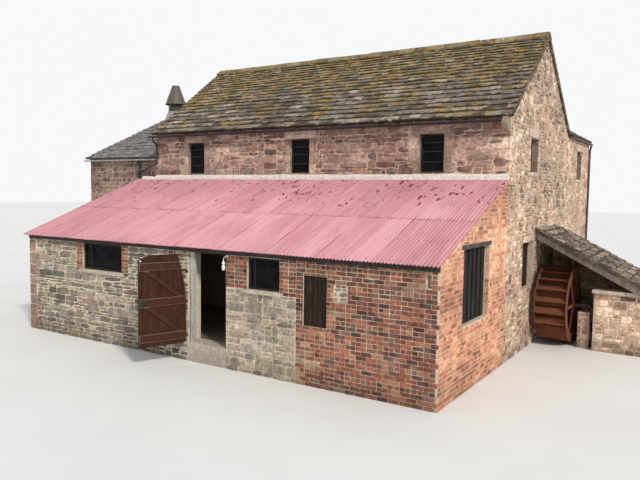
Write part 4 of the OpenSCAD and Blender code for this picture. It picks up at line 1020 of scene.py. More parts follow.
units += on_wall(rng, wing_surround, wing_start, RIGHT, joint=0.01, proud=0.017, tint=(0.75, 1.0),
                 shade=(1.1, 1.35))
lay("side_window_dressed_stones", units, STONES, dressed, "dressed_stone", rough=0.006)
rects = rubble(rng, wing_depth, 0.0, 5.53, (0.08, 0.17), (0.12, 0.34), [wing_window] + wing_surround)
units = on_wall(rng, rects, wing_start, RIGHT, joint=0.012, proud=0.009, tint=(0.2, 1))
lay("wing_side_stones", units, STONES, buff_stone, "buff_sandstone", rough=0.024, grain=8.0)
wing_mid = (WING_X[0] + WING_X[1]) / 2
wing_ridge_z = WING_EAVE_Z + WING_HALF * math.tan(WING_PITCH)
under_wing = [(at(wing_mid, 0, wing_ridge_z - 0.152),
               Vector((s * math.sin(WING_PITCH), 0, math.cos(WING_PITCH)))) for s in (-1, 1)]
coursed_wall("wing_rear_stones", rng, at(WING_X[1], WING_Y1, 0), REAR, (WING_X[1] - WING_X[0], 7.0),
             (0.10, 0.22), (0.15, 0.42), buff_stone, "buff_sandstone", cuts=under_wing)
coursed_wall("wing_left_stones", rng, at(WING_X[0], WING_Y1, 0), LEFT, (wing_depth, 5.53),
             (0.10, 0.22), (0.15, 0.42), buff_stone, "buff_sandstone")
rng = random.Random(14)
coursed_wall("rear_wall_stones", rng, at(WING_X[0], MILL_Y[1], 0), REAR, (WING_X[0] - MILL_X[0], 5.44),
             (0.11, 0.25), (0.18, 0.5), sandstone, "red_sandstone")
kiln_side = (1.0, 0.0, 5.16, 4.75)
lean_to_side = (5.54, 0, 5.94, 4.1)
coursed_wall("left_gable_stones", rng, at(MILL_X[0], MILL_Y[1], 0), LEFT, (mill_depth, 7.9),
             (0.10, 0.23), (0.15, 0.45), sandstone, "red_sandstone", holes=[kiln_side, lean_to_side],
             cuts=under_mill)

# Kiln walls
rng = random.Random(15)
units = []
for x, y, heading in ((KILN_X[0], KILN_Y[0], FRONT), (KILN_X[1], KILN_Y[1], REAR),
                      (KILN_X[0], KILN_Y[1], LEFT)):
    rects = rubble(rng, KILN_X[1] - KILN_X[0], 0.0, 4.79, (0.11, 0.25), (0.18, 0.5))
    units += on_wall(rng, rects, at(x, y, 0), heading)
lay("kiln_stones", units, ROUGH_STONES, kiln_sandstone, "red_sandstone", rough=0.032, grain=6.0)

# Lean-to walls
rng = random.Random(16)
wide_window, small_window = (2.19, 1.77, 3.63, 2.43), (7.435, 1.755, 8.257, 2.42)
wide_sill, small_sill = (2.10, 1.695, 3.72, 1.77), (7.345, 1.68, 8.347, 1.755)
left_bricks = brick_block(1.97, 2.19, 1.70, 2.52) + brick_block(3.63, 3.86, 1.70, 2.52)
middle_bricks = brick_block(6.88, 7.435, 1.755, 2.52) + brick_block(8.257, BRICK_X, 1.70, 2.52)
brick_jambs = minus(left_bricks + middle_bricks + brick_block(1.97, 3.86, 2.43, 2.52),
                    [wide_window, small_window])
left_bricks = [r for r in brick_jambs if r[0] < DOOR_X[0]]
middle_bricks = [r for r in brick_jambs if r[0] > DOOR_X[0]]
corner_blocks = (0, 0.0, 0.3, 9)
top_line = 2.56
left_rects = rubble(rng, DOOR_X[0], 0.0, top_line, (0.06, 0.17), (0.17, 0.5),
                    [wide_window, wide_sill, corner_blocks] + left_bricks)
middle_rects = rubble(rng, BRICK_X - DOOR_X[1], 0.0, top_line, (0.10, 0.20), (0.22, 0.5),
                      shift([small_window, small_sill] + middle_bricks, DOOR_X[1]))
front_corner = at(0, 0, 0)
units = on_wall(rng, left_rects, front_corner, FRONT, joint=0.010, proud=0.010, shade=(0.5, 1.3))
middle_rects = shift(middle_rects, -DOOR_X[1])
units += on_wall(rng, middle_rects, front_corner, FRONT, joint=0.018, proud=0.013, tint=(0.35, 1.0),
                 shade=(0.85, 1.8))
lay("lean_to_front_stones", units, STONES, grey_rubble, "grey_rubble", rough=0.034, grain=7.5)
under_sheets = [(at(0, 0, LEAN_FOOT_Z + LEAN_OVER * math.tan(LEAN_SLOPE) - 0.015),
                 Vector((0, -math.sin(LEAN_SLOPE), math.cos(LEAN_SLOPE))))]
front_blocks = (3.9, 0, LEAN_END_Y, 2.5)
coursed_wall("lean_to_end_stones", rng, at(0, LEAN_END_Y, 0), LEFT, (LEAN_END_Y, LEAN_END_TOP),
             (0.09, 0.2), (0.15, 0.42), grey_rubble, "grey_rubble", 0.013, [front_blocks], under_sheets)
coursed_wall("lean_to_rear_stones", rng, at(MILL_X[0], LEAN_END_Y, 0), REAR, (MILL_X[0], LEAN_END_TOP),
             (0.09, 0.2), (0.15, 0.42), grey_rubble, "grey_rubble", 0.013)

# Brick walls, jambs and the reveals of the side opening
rng = random.Random(17)
hatch = (0.17, 1.175, 0.705, 2.16)
slot_hole = (2.715, 2.14, 2.805, 2.38)
patch = (0.86, 1.70, 1.16, 1.98)
side_opening = (1.123, 1.30, 2.63, 2.74)
side_beam = (0.998, 2.74, 2.755, 2.828)
flat = {"depth": 0.03, "kinds": 4}
brick_length = 2.969
rects = bond(brick_length, 0.0, top_line, [hatch, slot_hole, patch])
units = on_wall(rng, rects, at(BRICK_X, 0, 0), FRONT, joint=0.010, proud=0.007, shade=(0.66, 1.32), **flat)
units += on_wall(rng, brick_jambs, front_corner, FRONT, joint=0.009, proud=0.007, tint=(0, 0.85),
                 shade=(0.55, 1.2), **flat)
lay("brick_front_courses", units, BRICKS, brickwork, "red_brick", rough=0.004, grain=14)
side_top = 4.08
rects = bond(MILL_Y[0], 0.0, side_top, [side_opening, side_beam], 1)
units = on_wall(rng, rects, at(MILL_X[1], 0, 0), RIGHT, joint=0.010, proud=0.006, tint=(0.05, 0.95),
                shade=(0.84, 1.22), **flat)
reveal_rng = random.Random(41)
reveal_depth = 0.09
y0, z0, y1, z1 = side_opening
reveal = [(a, max(low, z0), b, min(high, z1)) for a, low, b, high in bond(reveal_depth, 0.0, side_top, (), 1)
          if high > z0 + 0.03 and low < z1 - 0.03]
for start, heading in ((at(MILL_X[1] - reveal_depth, y1, 0), FRONT), (at(MILL_X[1], y0, 0), REAR)):
    units += on_wall(reveal_rng, reveal, start, heading, joint=0.010, proud=0.0, tint=(0.05, 0.95),
                     shade=(0.84, 1.22), depth=0.02, kinds=4)
lay("brick_side_courses", units, BRICKS, side_brick, "red_brick", rough=0.004, grain=14, cuts=under_sheets)
rects = rubble(rng, patch[2] - patch[0], patch[1], patch[3], (0.1, 0.13), (0.12, 0.2))
units = on_wall(rng, rects, at(BRICK_X + patch[0], 0, 0), FRONT, joint=0.012, proud=0.007)
lay("brick_wall_patch_stones", units, STONES, grey_rubble, "grey_rubble")

# Wheelhouse walls, outside and in, and the pier under the axle
rng = random.Random(18)
units = []
for x, y, width, top, heading in (
        (13.05, WHEELHOUSE_WALL_Y, 1.55, 1.41, FRONT), (WHEELHOUSE_X1, WHEELHOUSE_WALL_Y, 2.33, 1.34, RIGHT),
        (WHEELHOUSE_X1, WHEELHOUSE_Y[1], 2.98, 2.84, REAR), (MILL_X[1], 8.35, 2.63, 2.84, FRONT),
        (12.68, 6.50, 0.26, 0.89, FRONT), (12.94, 6.50, 0.50, 0.89, RIGHT)):
    rects = rubble(rng, width, 0.0, top, (0.10, 0.22), (0.15, 0.4))
    units += on_wall(rng, rects, at(x, y, 0), heading)
under_wheelhouse = [(at(MILL_X[1], 0, WHEELHOUSE_TOP - 0.125),
                     Vector((math.sin(WHEELHOUSE_PITCH), 0, math.cos(WHEELHOUSE_PITCH))))]
lay("wheelhouse_stones", units, STONES, buff_stone, "buff_sandstone", rough=0.014, cuts=under_wheelhouse)

# Corner blocks
rng = random.Random(19)
units = quoins(rng, MILL_X[0], MILL_Y[1], 0, 5.4, (1, -1))
units += quoins(rng, KILN_X[0], KILN_Y[0], 0, 4.75, (1, 1))
units += quoins(rng, KILN_X[0], KILN_Y[1], 0, 4.75, (1, -1))
units += quoins(rng, MILL_X[0], MILL_Y[0], 4.12, 5.38, (1, 1))
lay("mill_corner_blocks", units, BLOCKS, sandstone, "red_sandstone", rough=0.008, grain=7)
units = quoins(rng, MILL_X[1], MILL_Y[0], 4.14, 5.04, (-1, 1))
units += quoins(rng, WING_X[1], WING_Y1, 0, 5.5, (-1, -1))
units += quoins(rng, WING_X[0], WING_Y1, 0, 5.5, (1, -1))
units += quoins(rng, WHEELHOUSE_X1, WHEELHOUSE_Y[1], 0, 1.3, (-1, -1))
units += quoins(rng, WHEELHOUSE_X1, WHEELHOUSE_WALL_Y, 0, 1.28, (-1, 1))
lay("gable_corner_blocks", units, BLOCKS, buff_stone, "buff_sandstone", rough=0.008, grain=7)
corner_tones = [(0.0, (0.34, 0.20, 0.15)), (0.5, (0.40, 0.30, 0.22)), (1.0, (0.46, 0.38, 0.30))]
corner_stone = laid_stone("lean-to corner stone", corner_tones, (0.55, 0.48, 0.42), 0.4)
units = quoins(rng, 0, 0, 0, 2.5, (1, 1), tall=(0.22, 0.34), long=0.46, short=0.3)
units += quoins(rng, 0, LEAN_END_Y, 0, 3.9, (1, -1))
lay("lean_to_corner_blocks", units, BLOCKS, corner_stone, "grey_rubble", rough=0.008, grain=7)

# Slated roofs
rng = random.Random(20)
mill_span = (MILL_X[0] - VERGE_OVER, MILL_X[1] + VERGE_OVER)
half = (mill_span[1] - mill_span[0]) / 2
ridge_point = at((mill_span[0] + mill_span[1]) / 2, RIDGE_Y, RIDGE_Z)
for name, heading in (("mill_front_slates", FRONT), ("mill_rear_slates", REAR)):
    units = slates(rng, ridge_point, heading, PITCH, REACH, 21, 1.028,
                   lambda near, far: (-half, half), (0.24, 0.46))
    if heading == REAR:
        wing_corner = at(WING_X[0] - 0.2, MILL_Y[1], 0)
        units = [u for u in units if u[0].x <= wing_corner.x or u[0].y <= wing_corner.y]
    lay(name, units, SLATES, mossy_slate, "stone_slate", rough=0.006, grain=5)
wing_end = WING_Y1 + 0.08
wing_length = wing_end - RIDGE_Y
wing_point = at(wing_mid, RIDGE_Y + wing_length / 2, wing_ridge_z)
rear_plane = (at(0, RIDGE_Y, RIDGE_Z - 0.01), Vector((0, -math.sin(PITCH), -math.cos(PITCH))))
for name, heading in (("wing_right_slates", RIGHT), ("wing_left_slates", LEFT)):
    units = slates(rng, wing_point, heading, WING_PITCH, WING_HALF, 16, 1.028,
                   lambda near, far: (-wing_length / 2, wing_length / 2), (0.22, 0.42))
    units = [u for u in units if u[0].y > MILL_Y[1] - ORIGIN.y - 0.02 or u[0].x < MILL_X[1] - ORIGIN.x - 0.02]
    lay(name, units, SLATES, wing_slate, "grey_slate", rough=0.006, grain=5, cuts=[rear_plane])
kiln_top_z = KILN_EAVE_Z + KILN_HALF * math.tan(PITCH)
kiln_mid = at((KILN_X[0] + KILN_X[1]) / 2, (KILN_Y[0] + KILN_Y[1]) / 2, kiln_top_z)
drum_radius = 0.2
beside_mill = (at(MILL_X[0], 0, 0), Vector((1, 0, 0)))
for i, heading in enumerate((FRONT, RIGHT, REAR, LEFT)):
    units = slates(rng, kiln_mid, heading, PITCH, KILN_HALF, 16, 1.001, lambda near, far: (-far, far),
                   (0.2, 0.3), thick=0.03, lift=0.006, ragged=0.003, shade=(0.82, 1.16))
    units = [u for u in units if math.hypot(u[0].x - kiln_mid.x, u[0].y - kiln_mid.y) > drum_radius]
    hips = [(kiln_mid, Matrix.Rotation(heading, 3, "Z") @ Vector((s, 1, 0))) for s in (-1, 1)]
    lay(f"kiln_slates_{i}", units, SLATES, kiln_slate, "grey_slate", rough=0.003, grain=5,
        cuts=hips + [beside_mill])
wheelhouse_half = (WHEELHOUSE_Y[1] - WHEELHOUSE_Y[0]) / 2
wheelhouse_point = at(MILL_X[1], (WHEELHOUSE_Y[0] + WHEELHOUSE_Y[1]) / 2, WHEELHOUSE_TOP)
units = slates(rng, wheelhouse_point, RIGHT, WHEELHOUSE_PITCH, WHEELHOUSE_X1 - MILL_X[1] + 0.15, 17, 1.001,
               lambda near, far: (-wheelhouse_half, wheelhouse_half), (0.17, 0.34), ragged=0.02)
lay("wheelhouse_slates", units, SLATES, wheelhouse_slate, "stone_slate", rough=0.006, grain=5)

# Thin bedded slates along the verges, in three layers under the slates
rng = random.Random(21)
slope_length = REACH / math.cos(PITCH)
units = []
for x, side, heading in ((mill_span[1], 1, RIGHT), (mill_span[0], -1, LEFT)):
    for slope in (-1, 1):
        for layer in range(3):
            s, n = 0.1, -0.045 - layer * 0.036
            while s < slope_length - 0.05:
                step = rng.uniform(0.18, 0.42)
                c = s + step / 2
                if c < (REACH - 0.25) / math.cos(PITCH):
                    y = RIDGE_Y + slope * (c * math.cos(PITCH) + n * math.sin(PITCH))
                    z = RIDGE_Z - c * math.sin(PITCH) + n * math.cos(PITCH)
                    units.append((at(x + side * 0.004, y, z), (step - 0.014, 0.03, 0.028),
                                  (0, slope * side * PITCH, heading),
                                  rng.random(), rng.uniform(0.8, 1.3), rng.randrange(4)))
                s += step
lay("mill_verge_slates", units, BRICKS, mossy_slate, "stone_slate", rough=0.008, grain=8)
wheelhouse_slope = 3.5
units = []
for layer in range(3):
    s, n = 0.05, -0.03 - layer * 0.03
    while s < wheelhouse_slope - 0.1:
        step = min(rng.uniform(0.2, 0.42), wheelhouse_slope - s)
        c = s + step / 2
        x = MILL_X[1] + c * math.cos(WHEELHOUSE_PITCH) + n * math.sin(WHEELHOUSE_PITCH)
        z = WHEELHOUSE_TOP - c * math.sin(WHEELHOUSE_PITCH) + n * math.cos(WHEELHOUSE_PITCH)
        units.append((at(x, WHEELHOUSE_Y[0] - 0.004 - rng.uniform(0, 0.02), z), (step - 0.012, 0.05, 0.026),
                      (0, WHEELHOUSE_PITCH, FRONT), rng.random(), rng.uniform(0.8, 1.2), rng.randrange(4)))
        s += step
lay("wheelhouse_verge_slates", units, BRICKS, wheelhouse_slate, "stone_slate", rough=0.008, grain=8)


# Ridge stones along the mill and the wing

def ridge_steps(rng, start, end):
    """Lengths of ridge stones in order from start to end, with no sliver at the end."""
    while start < end - 0.02:
        step = min(rng.uniform(0.38, 0.56), end - start)
        if end - start - step < 0.2:
            step = end - start
        yield start + step / 2, step
        start += step


rng = random.Random(23)
units = []
for x, step in ridge_steps(rng, *mill_span):
    units.append((at(x, RIDGE_Y + rng.uniform(-0.008, 0.008), RIDGE_Z + rng.uniform(-0.004, 0.012)),
                  (step - 0.008, 1, 1), (rng.uniform(-0.03, 0.03), rng.uniform(-0.012, 0.012), 0),
                  rng.random(), rng.uniform(0.9, 1.35), rng.randrange(2)))
for y, step in ridge_steps(rng, RIDGE_Y + (RIDGE_Z - wing_ridge_z) / math.tan(PITCH) - 0.1, wing_end):
    units.append((at(wing_mid, y, wing_ridge_z + rng.uniform(0, 0.01)), (step - 0.008, 1, 1),
                  (0, 0, RIGHT), rng.random(), rng.uniform(0.8, 1.2), rng.randrange(2)))
ridges = lay("laid_ridge_stones", units, RIDGES, ridge_slate, "stone_slate", rough=0.012, grain=7)
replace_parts(ridges, "ridge_stones")


# Corrugated sheets: two rows, lapped at their sides and over one another

def sheet_shape(waves, length):
    """Points and faces of one corrugated sheet that runs up from the origin along Y, closed at its edges."""
    pitch, deep, steps, parts, thick = CORRUGATION, 0.019, 10, 5, 0.0022
    cols = waves * steps
    points = [(i * pitch / steps, length * j / parts, deep / 2 * math.cos(2 * math.pi * i / steps) + lift)
              for lift in (thick, 0.0) for j in range(parts + 1) for i in range(cols + 1)]
    top = [[j * (cols + 1) + i for i in range(cols + 1)] for j in range(parts + 1)]
    low = [[k + len(points) // 2 for k in row] for row in top]
    faces = []
    for j in range(parts):
        for i in range(cols):
            faces.append((top[j][i], top[j][i + 1], top[j + 1][i + 1], top[j + 1][i]))
            faces.append((low[j][i], low[j + 1][i], low[j + 1][i + 1], low[j][i + 1]))
        faces.append((top[j][0], top[j + 1][0], low[j + 1][0], low[j][0]))
        faces.append((top[j + 1][cols], top[j][cols], low[j][cols], low[j + 1][cols]))
    for i in range(cols):
        faces.append((top[0][i + 1], top[0][i], low[0][i], low[0][i + 1]))
        faces.append((top[parts][i], top[parts][i + 1], low[parts][i + 1], low[parts][i]))
    rims = [1.0 if p[1] == 0 or p[0] < 0.016 else 0.0 for p in points]
    return [Vector(p) for p in points], faces, rims


def faded_sheets(w):
    """Chalky red paint, duller and more rusty up the roof, with dark lines at the laps."""
    place = w.where()
    up = w.range(w.axis(place, "Y"), -4.2, -0.3)
    base = w.mix(w.range(w.own("tint"), 0, 1), (0.60, 0.265, 0.30), (0.71, 0.36, 0.395))
    streaks = w.range(w.noise(w.where((9, 0.5, 0.5)), 1.6, 5, 0.6), 0.4, 0.7)
    base = w.mix(w.times(streaks, 0.5), base, (0.78, 0.46, 0.49))
    worn = w.range(w.noise(w.where((1.2, 0.5, 0.5)), 1.1, 5, 0.65, 0.4), 0.46, 0.7)
    base = w.mix(w.times(worn, 0.55), base, (0.48, 0.215, 0.24))
    cloudy = w.noise(w.where((1.6, 0.6, 0.6)), 2.2, 5, 0.7)
    grey = w.range(w.plus(cloudy, w.times(up, 0.12)), 0.6, 0.76)
    base = w.mix(w.times(grey, 0.35), base, (0.36, 0.22, 0.23))
    base = w.mix(w.range(up, 0.55, 1.0, 0.0, 0.35), base, (0.50, 0.20, 0.24))
    spread = w.range(w.noise(w.where(), 0.9, 3, 0.6), 0.40, 0.60, 0.03, -0.03)
    patch = w.noise(w.where((1, 0.55, 0.55)), 8.0, 3, 0.5, 0.3)
    edge = w.plus(w.range(up, 0.30, 0.80, 0.80, 0.632), spread)
    spots = w.range(w.less(patch, edge), 0.0, 0.02)
    base = w.mix(w.times(spots, 0.9), base, (0.15, 0.034, 0.028))
    flecks = w.range(w.noise(w.where((1, 0.7, 1)), 15.0, 4, 0.7), 0.64, 0.70)
    base = w.mix(w.times(flecks, w.range(up, 0.35, 1.0, 0.1, 0.6)), base, (0.17, 0.06, 0.05))
    base = w.mix(w.range(w.axis(place, "X"), -6.0, -0.5, 0.42, 0.0), base, (0.44, 0.18, 0.22))
    rim = w.range(w.own("rim"), 0.90, 0.985)
    rim = w.times(rim, w.range(w.noise(w.where((2, 1, 1)), 1.4, 3, 0.6), 0.42, 0.6, 0.15, 0.8))
    return {"colour": w.mix(rim, base, (0.17, 0.055, 0.055)),
            "height": w.noise(place, 30.0, 4, 0.6), "strength": 0.12, "deep": 0.003}


sheet_paint = finish("faded red sheets", faded_sheets, 0.66, Specular_IOR_Level=0.2)
rng = random.Random(22)
sheet_end = MILL_X[1] + 0.045
full_sheets, left_verge = 19, -0.0698
sheet_starts = [sheet_end - (WAVES + (WAVES - 1) * i) * CORRUGATION for i in range(full_sheets)]
sheet_starts.append(left_verge)
sheet_rows = ((0.0, 2.07), (1.93, 2.325))
sheets_foot = Matrix.Translation(at(0, -LEAN_OVER, LEAN_FOOT_Z)) @ Matrix.Rotation(LEAN_SLOPE, 4, "X")
points, faces, tints, rims = [], [], [], []
for row, (start, length) in enumerate(sheet_rows):
    shape = sheet_shape(WAVES, length)
    for i, x in enumerate(sheet_starts):
        slip = rng.uniform(-0.014, 0.004) if row == 0 else 0.0
        lift = 0.002 + 0.0015 * (i % 2) + row * 0.0035
        place = sheets_foot @ Matrix.Translation((x, start + slip, lift))
        place = place @ Matrix.Rotation(rng.uniform(-0.0012, 0.0012), 4, "X")
        first = len(points)
        points += [place @ p for p in shape[0]]
        faces += [tuple(first + k for k in f) for f in shape[1]]
        tints += [rng.random()] * len(shape[0])
        rims += shape[2]
mesh = bpy.data.meshes.new("lapped corrugated sheets")
mesh.from_pydata(points, [], faces)
for label, values in (("tint", tints), ("rim", rims)):
    mesh.attributes.new(label, "FLOAT", "POINT").data.foreach_set("value", values)
mesh.materials.append(sheet_paint)
mesh.shade_smooth()
mesh.set_sharp_from_angle(angle=math.radians(45))
sheets = add_piece(bpy.data.objects.new("lapped_corrugated_sheets", mesh), "mill")
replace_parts(sheets, "corrugated_roof")


# Fixings of the sheets: a dark washer on every third crest along each purlin

def washer_shape(seed):
    """A low cap with eight sides."""
    pts = [((0, 0, 0), (0, 0, 0.006), 1.0)]
    for radius, lift in ((0.007, 0.005), (0.013, 0.0)):
        for i in range(8):
            a = math.pi * i / 4
            pts.append(((0, 0, 0), (radius * math.cos(a), radius * math.sin(a), lift), 1.0))
    faces = [(0, 1 + i, 1 + (i + 1) % 8) for i in range(8)]
    faces += [(1 + i, 9 + i, 9 + (i + 1) % 8, 1 + (i + 1) % 8) for i in range(8)]
    faces.append(tuple(9 + i for i in range(7, -1, -1)))
    return unit_shape("washer shape", pts, faces, 0.0, seed)


WASHERS = kind_set("sheet washers", [washer_shape(0)])
rng = random.Random(24)
units = []
crest_z = 0.0175
for up in (0.12, 0.95, 2.0, 3.1, 4.15):
    x = sheet_end - CORRUGATION
    while x >= 0.0:
        spot = sheets_foot @ Vector((x, up + rng.uniform(-0.01, 0.01), crest_z))
        units.append((spot, (1, 1, 1), (LEAN_SLOPE, 0, 0), rng.random(), 1.0, 0))
        x -= 3 * CORRUGATION
lay("sheet_fixings", units, WASHERS, rusty_iron, "faded_red_iron", rough=0.0)


def lime_run(name, x0, x1, height):
    """Lime trowelled along the head of the sheets, uneven at its top and foot."""
    points, faces, n = [], [], 9
    steps = round((x1 - x0) / 0.07)
    reach, head, back = 0.08, 0.025, MILL_Y[0] + 0.005
    foot = LEAN_HEAD_Z - reach * math.tan(LEAN_SLOPE) + 0.0125
    for k in range(steps + 1):
        x = x0 + (x1 - x0) * k / steps
        rise = height + 0.016 * noise.noise(Vector((x * 2.1, 0, 0)))
        rise += 0.012 * noise.noise(Vector((x * 9, 3, 0)))
        wide = reach + 0.014 * noise.noise(Vector((x * 3.3, 7, 0)))
        for i in range(n - 2):
            a = math.radians(90 * i / (n - 3))
            swell = 0.006 * noise.noise(Vector((x * 12, i * 0.9, 1)))
            out = MILL_Y[0] - head - (wide - head) * math.cos(a) - swell
            points.append(at(x, out, foot + (LEAN_HEAD_Z + rise - foot) * math.sin(a)))
        points += [at(x, back, LEAN_HEAD_Z + rise), at(x, back, foot - 0.01)]
    for k in range(steps):
        for i in range(n):
            a, b = k * n + i, k * n + (i + 1) % n
            faces.append((a, b, b + n, a + n))
    faces += [tuple(range(n - 1, -1, -1)), tuple(steps * n + i for i in range(n))]
    mesh = bpy.data.meshes.new(name)
    mesh.from_pydata(points, [], faces)
    mesh.materials.append(white_lime)
    face_outwards(mesh)
    mesh.shade_smooth()
    mesh.set_sharp_from_angle(angle=math.radians(50))
    return add_piece(bpy.data.objects.new(name, mesh), "mill")


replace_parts(lime_run("lime_fillet_high", *MILL_X, 0.12), "lime_fillet")
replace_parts(lime_run("lime_fillet_low", 0.156, 0.82, 0.08), "lime_fillet")

# Ledges and braces of the door, with arrises painted pale for highlight and wear. LEAF places the open leaf
# by its pins
HINGE_PIN = at(DOOR_X[0] - 0.008, -0.06, 0.44)
OPEN_ANGLE = math.radians(-110)
LEAF = Matrix.Translation(HINGE_PIN) @ Matrix.Rotation(OPEN_ANGLE, 4, "Z") @ Matrix.Translation((0, 0.01, 0))
LEDGE_Z, LEDGE_H, LEAF_W = (0.10, 0.86, 1.62), 0.175, 1.085
BRACE_INSET, BRACE_W = 0.09, 0.135


def rimmed_boards(name, outlines, y0, thick, material, body):
    """Boards of a given outline on the leaf's inner face; rim is 1 along the arrises."""
    points, faces, rims = [], [], []
    for outline in outlines:
        mid = sum((Vector(p) for p in outline), Vector((0, 0))) / len(outline)
        first, n = len(points), len(outline)
        face = y0 + thick
        for inset, y, rim in ((0, y0, 0.2), (0, face - 0.006, 1.0), (0.006, face, 1.0), (0.024, face, 0.0)):
            for p in outline:
                away = mid - Vector(p)
                across = p[0] + math.copysign(min(inset, abs(away.x)), away.x)
                up = p[1] + math.copysign(min(inset, abs(away.y)), away.y)
                points.append(LEAF @ Vector((across, y, up)))
                rims.append(rim)
        for ring in range(3):
            for i in range(n):
                a, b = first + ring * n + i, first + ring * n + (i + 1) % n
                faces.append((a, b, b + n, a + n))
        faces += [tuple(first + i for i in range(n - 1, -1, -1)), tuple(first + 3 * n + i for i in range(n))]
    mesh = bpy.data.meshes.new(name)
    mesh.from_pydata(points, [], faces)
    mesh.attributes.new("rim", "FLOAT", "POINT").data.foreach_set("value", rims)
    mesh.materials.append(material)
    face_outwards(mesh)
    return add_piece(bpy.data.objects.new(name, mesh), body)


def highlit_worn_timber(w):
    """Brown painted timber that is pale along its arrises: painted highlight where light catches the edges,
    and wear.
    """
    p = w.use(PLANK, Dark=(0.042, 0.015, 0.0085), Light=(0.080, 0.030, 0.017), Bare=(0.13, 0.06, 0.036),
              Wear=0.25)
    # Painted highlight and wear: pale along the arrises, where rim is 1
    edge = w.range(w.plus(w.own("rim"), w.noise(w.where(), 16.0, 4, 0.6)), 0.9, 1.4, 0.0, 0.75)
    return {"colour": w.mix(edge, p["Colour"], (0.20, 0.13, 0.10)), "height": p["Height"],
            "strength": 0.4, "deep": 0.003}


ledge_wood = finish("door ledges with highlit worn arrises", highlit_worn_timber, 0.8, Specular_IOR_Level=0.2)
leaf_left = 0.018
outlines = []
for z, foot, head in zip(LEDGE_Z, (0.0, 0.004, 0.109), (0.0, 0.007, 0.156)):
    top = z + LEDGE_H
    outlines.append([(leaf_left + foot, z), (LEAF_W, z), (LEAF_W, top), (leaf_left + head, top)])
for i in (0, 1):
    low, high = LEDGE_Z[i] + LEDGE_H, LEDGE_Z[i + 1]
    outlines.append([(BRACE_INSET, low), (BRACE_INSET + BRACE_W, low),
                     (LEAF_W - BRACE_INSET, high), (LEAF_W - BRACE_INSET - BRACE_W, high)])
ledges = rimmed_boards("worn_door_ledges", outlines, 0.04, 0.028, ledge_wood, "door")
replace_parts(ledges, "door_ledges")

# Pale knob at the free top corner of the leaf
knob = bmesh.new()
bmesh.ops.create_uvsphere(knob, u_segments=12, v_segments=8, radius=0.02,
                          matrix=LEAF @ Matrix.Translation((LEAF_W - 0.035, 0.045, 1.835)))
mesh = bpy.data.meshes.new("door knob")
knob.to_mesh(mesh)
knob.free()
mesh.materials.append(enamel)
mesh.shade_smooth()
add_piece(bpy.data.objects.new("door_knob", mesh), "door")

# Finishes of the CAD pieces
looks = {
    mill_mortar: ["front_wall", "rear_wall", "left_gable"],
    kiln_mortar: ["kiln_walls"],
    gable_mortar: ["right_gable", "wing_walls", "wheelhouse_walls"],
    lean_mortar: ["lean_to_end_wall", "stone_wall_left", "stone_wall_middle"],
    brick_mortar: ["brick_wall", "brick_side_wall"],
    mossy_slate: ["roof_front", "roof_rear"],
    ridge_slate: ["ridge_stones"],
    wing_slate: ["wing_roof"],
    kiln_slate: ["kiln_roof"],
    wheelhouse_slate: ["wheelhouse_roof"],
    pale_stone: ["window_sills", "wheelhouse_coping", "threshold"],
    dressed: ["window_surrounds"],
    flagstone: ["ground_floor"],
    white_lime: ["lime_fillet"],
    floor_wood: ["upper_floor"],
    drum_metal: ["kiln_drum"],
    lead: ["kiln_gutter"],
    cowl_iron: ["kiln_cowl"],
    black_iron: ["rainwater_pipes", "door_irons", "wheel_bearings", "hinge_hooks"],
    brown_paint: ["wing_rainwater"],
    rusty_iron: ["wheel_rims", "wheel_buckets", "wheel_arms", "wheel_axle"],
    door_wood: ["door_leaf"],
    ledge_wood: ["door_ledges"],
    hatch_wood: ["hatch_boards"],
    grey_wood: ["lintels"],
    slat_wood: ["slatted_boards"],
    barge_wood: ["wheelhouse_rafter"],
    tarred_wood: ["eaves_board"],
    frame_wood: ["window_frames"],
    post_wood: ["door_posts"],
    enamel: ["lamp"],
    pane: ["window_glass"],
}
for material, names in looks.items():
    for n in names:
        slots = NODES[n].material_slots
        if not slots:
            NODES[n].data.materials.append(material)
        for s in slots:
            s.material = material
for n in ("roof_front", "roof_rear", "ridge_stones", "wing_roof", "kiln_roof", "wheelhouse_roof",
          "window_surrounds"):
    mesh = NODES[n].data
    for label, value in (("tint", 0.35), ("shade", 0.8), ("rim", 0.0)):
        a = mesh.attributes.new(label, "FLOAT", "POINT")
        a.data.foreach_set("value", [value] * len(mesh.vertices))


# Floor and light

def floor_build(w):
    """Plain pale paint."""
    cloudy = w.range(w.noise(w.where(), 0.4, 3), 0.3, 0.7)
    return {"colour": w.mix(cloudy, (0.80, 0.80, 0.79), (0.83, 0.83, 0.82))}


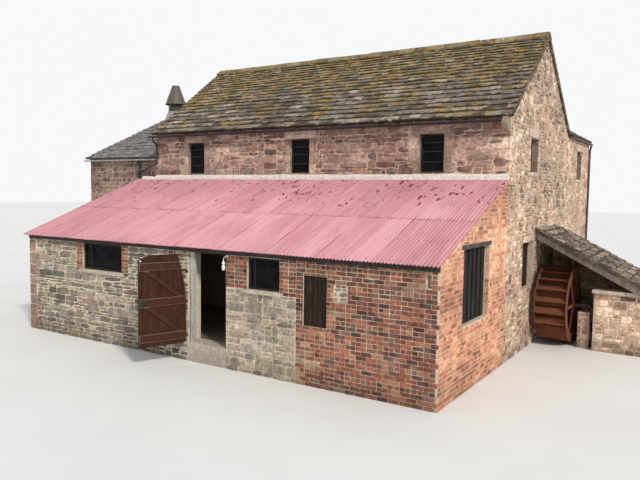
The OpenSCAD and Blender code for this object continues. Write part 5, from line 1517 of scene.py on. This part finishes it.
floor = bpy.data.meshes.new("studio floor")
floor.from_pydata([(-150, -150, 0), (150, -150, 0), (150, 150, 0), (-150, 150, 0)], [], [(0, 1, 2, 3)])
floor.materials.append(finish("studio floor paint", floor_build, 0.9))
ground = bpy.data.objects.new("studio_floor", floor)
bpy.context.scene.collection.objects.link(ground)

world = bpy.data.worlds.new("studio")
bpy.context.scene.world = world
world.use_nodes = True
w = Wiring(world.node_tree)
world.node_tree.nodes.clear()
path = w.node("LightPath")
mirrored = w.maths("MAXIMUM", path.outputs["Is Glossy Ray"], path.outputs["Is Transmission Ray"])
seen = w.maths("MAXIMUM", path.outputs["Is Camera Ray"], mirrored)
soft, shown, both = w.node("Background"), w.node("Background"), w.node("MixShader")
soft.inputs["Color"].default_value = (0.90, 0.95, 1.0, 1.0)
soft.inputs["Strength"].default_value = 0.62
shown.inputs["Color"].default_value = (0.93, 0.94, 0.95, 1.0)
shown.inputs["Strength"].default_value = 1.0
w.feed(both.inputs[0], seen)
w.feed(both.inputs[1], soft.outputs[0])
w.feed(both.inputs[2], shown.outputs[0])
w.feed(w.node("OutputWorld").inputs[0], both.outputs[0])

lamp = bpy.data.lights.new("key light", "SUN")
lamp.energy = 2.3
lamp.angle = math.radians(7)
lamp.color = (1.0, 0.95, 0.87)
key = bpy.data.objects.new("key light", lamp)
toward = Vector((0.74, -0.42, 0.62))
key.rotation_euler = toward.to_track_quat("Z", "Y").to_euler()
bpy.context.scene.collection.objects.link(key)

# Camera, solved from the building's own parallel lines
yaw, dip, roll = math.radians(32.494), math.radians(4.281), math.radians(-0.862)
ahead = Vector((-math.sin(yaw) * math.cos(dip), math.cos(yaw) * math.cos(dip), -math.sin(dip)))
right = Vector((math.cos(yaw), math.sin(yaw), 0))
down = ahead.cross(right)
c, s = math.cos(roll), math.sin(roll)
cam_right, cam_down = right * c + down * s, down * c - right * s
lens = bpy.data.cameras.new("camera")
lens.sensor_width = 36.0
lens.lens = 35.52
lens.clip_end = 500
camera = bpy.data.objects.new("camera", lens)
stands_at = Matrix.Translation((9.405, -14.103, 3.748))
camera.matrix_world = stands_at @ Matrix((cam_right, -cam_down, -ahead)).transposed().to_4x4()
bpy.context.scene.collection.objects.link(camera)
bpy.context.scene.camera = camera
bpy.context.scene.view_settings.view_transform = "Standard"
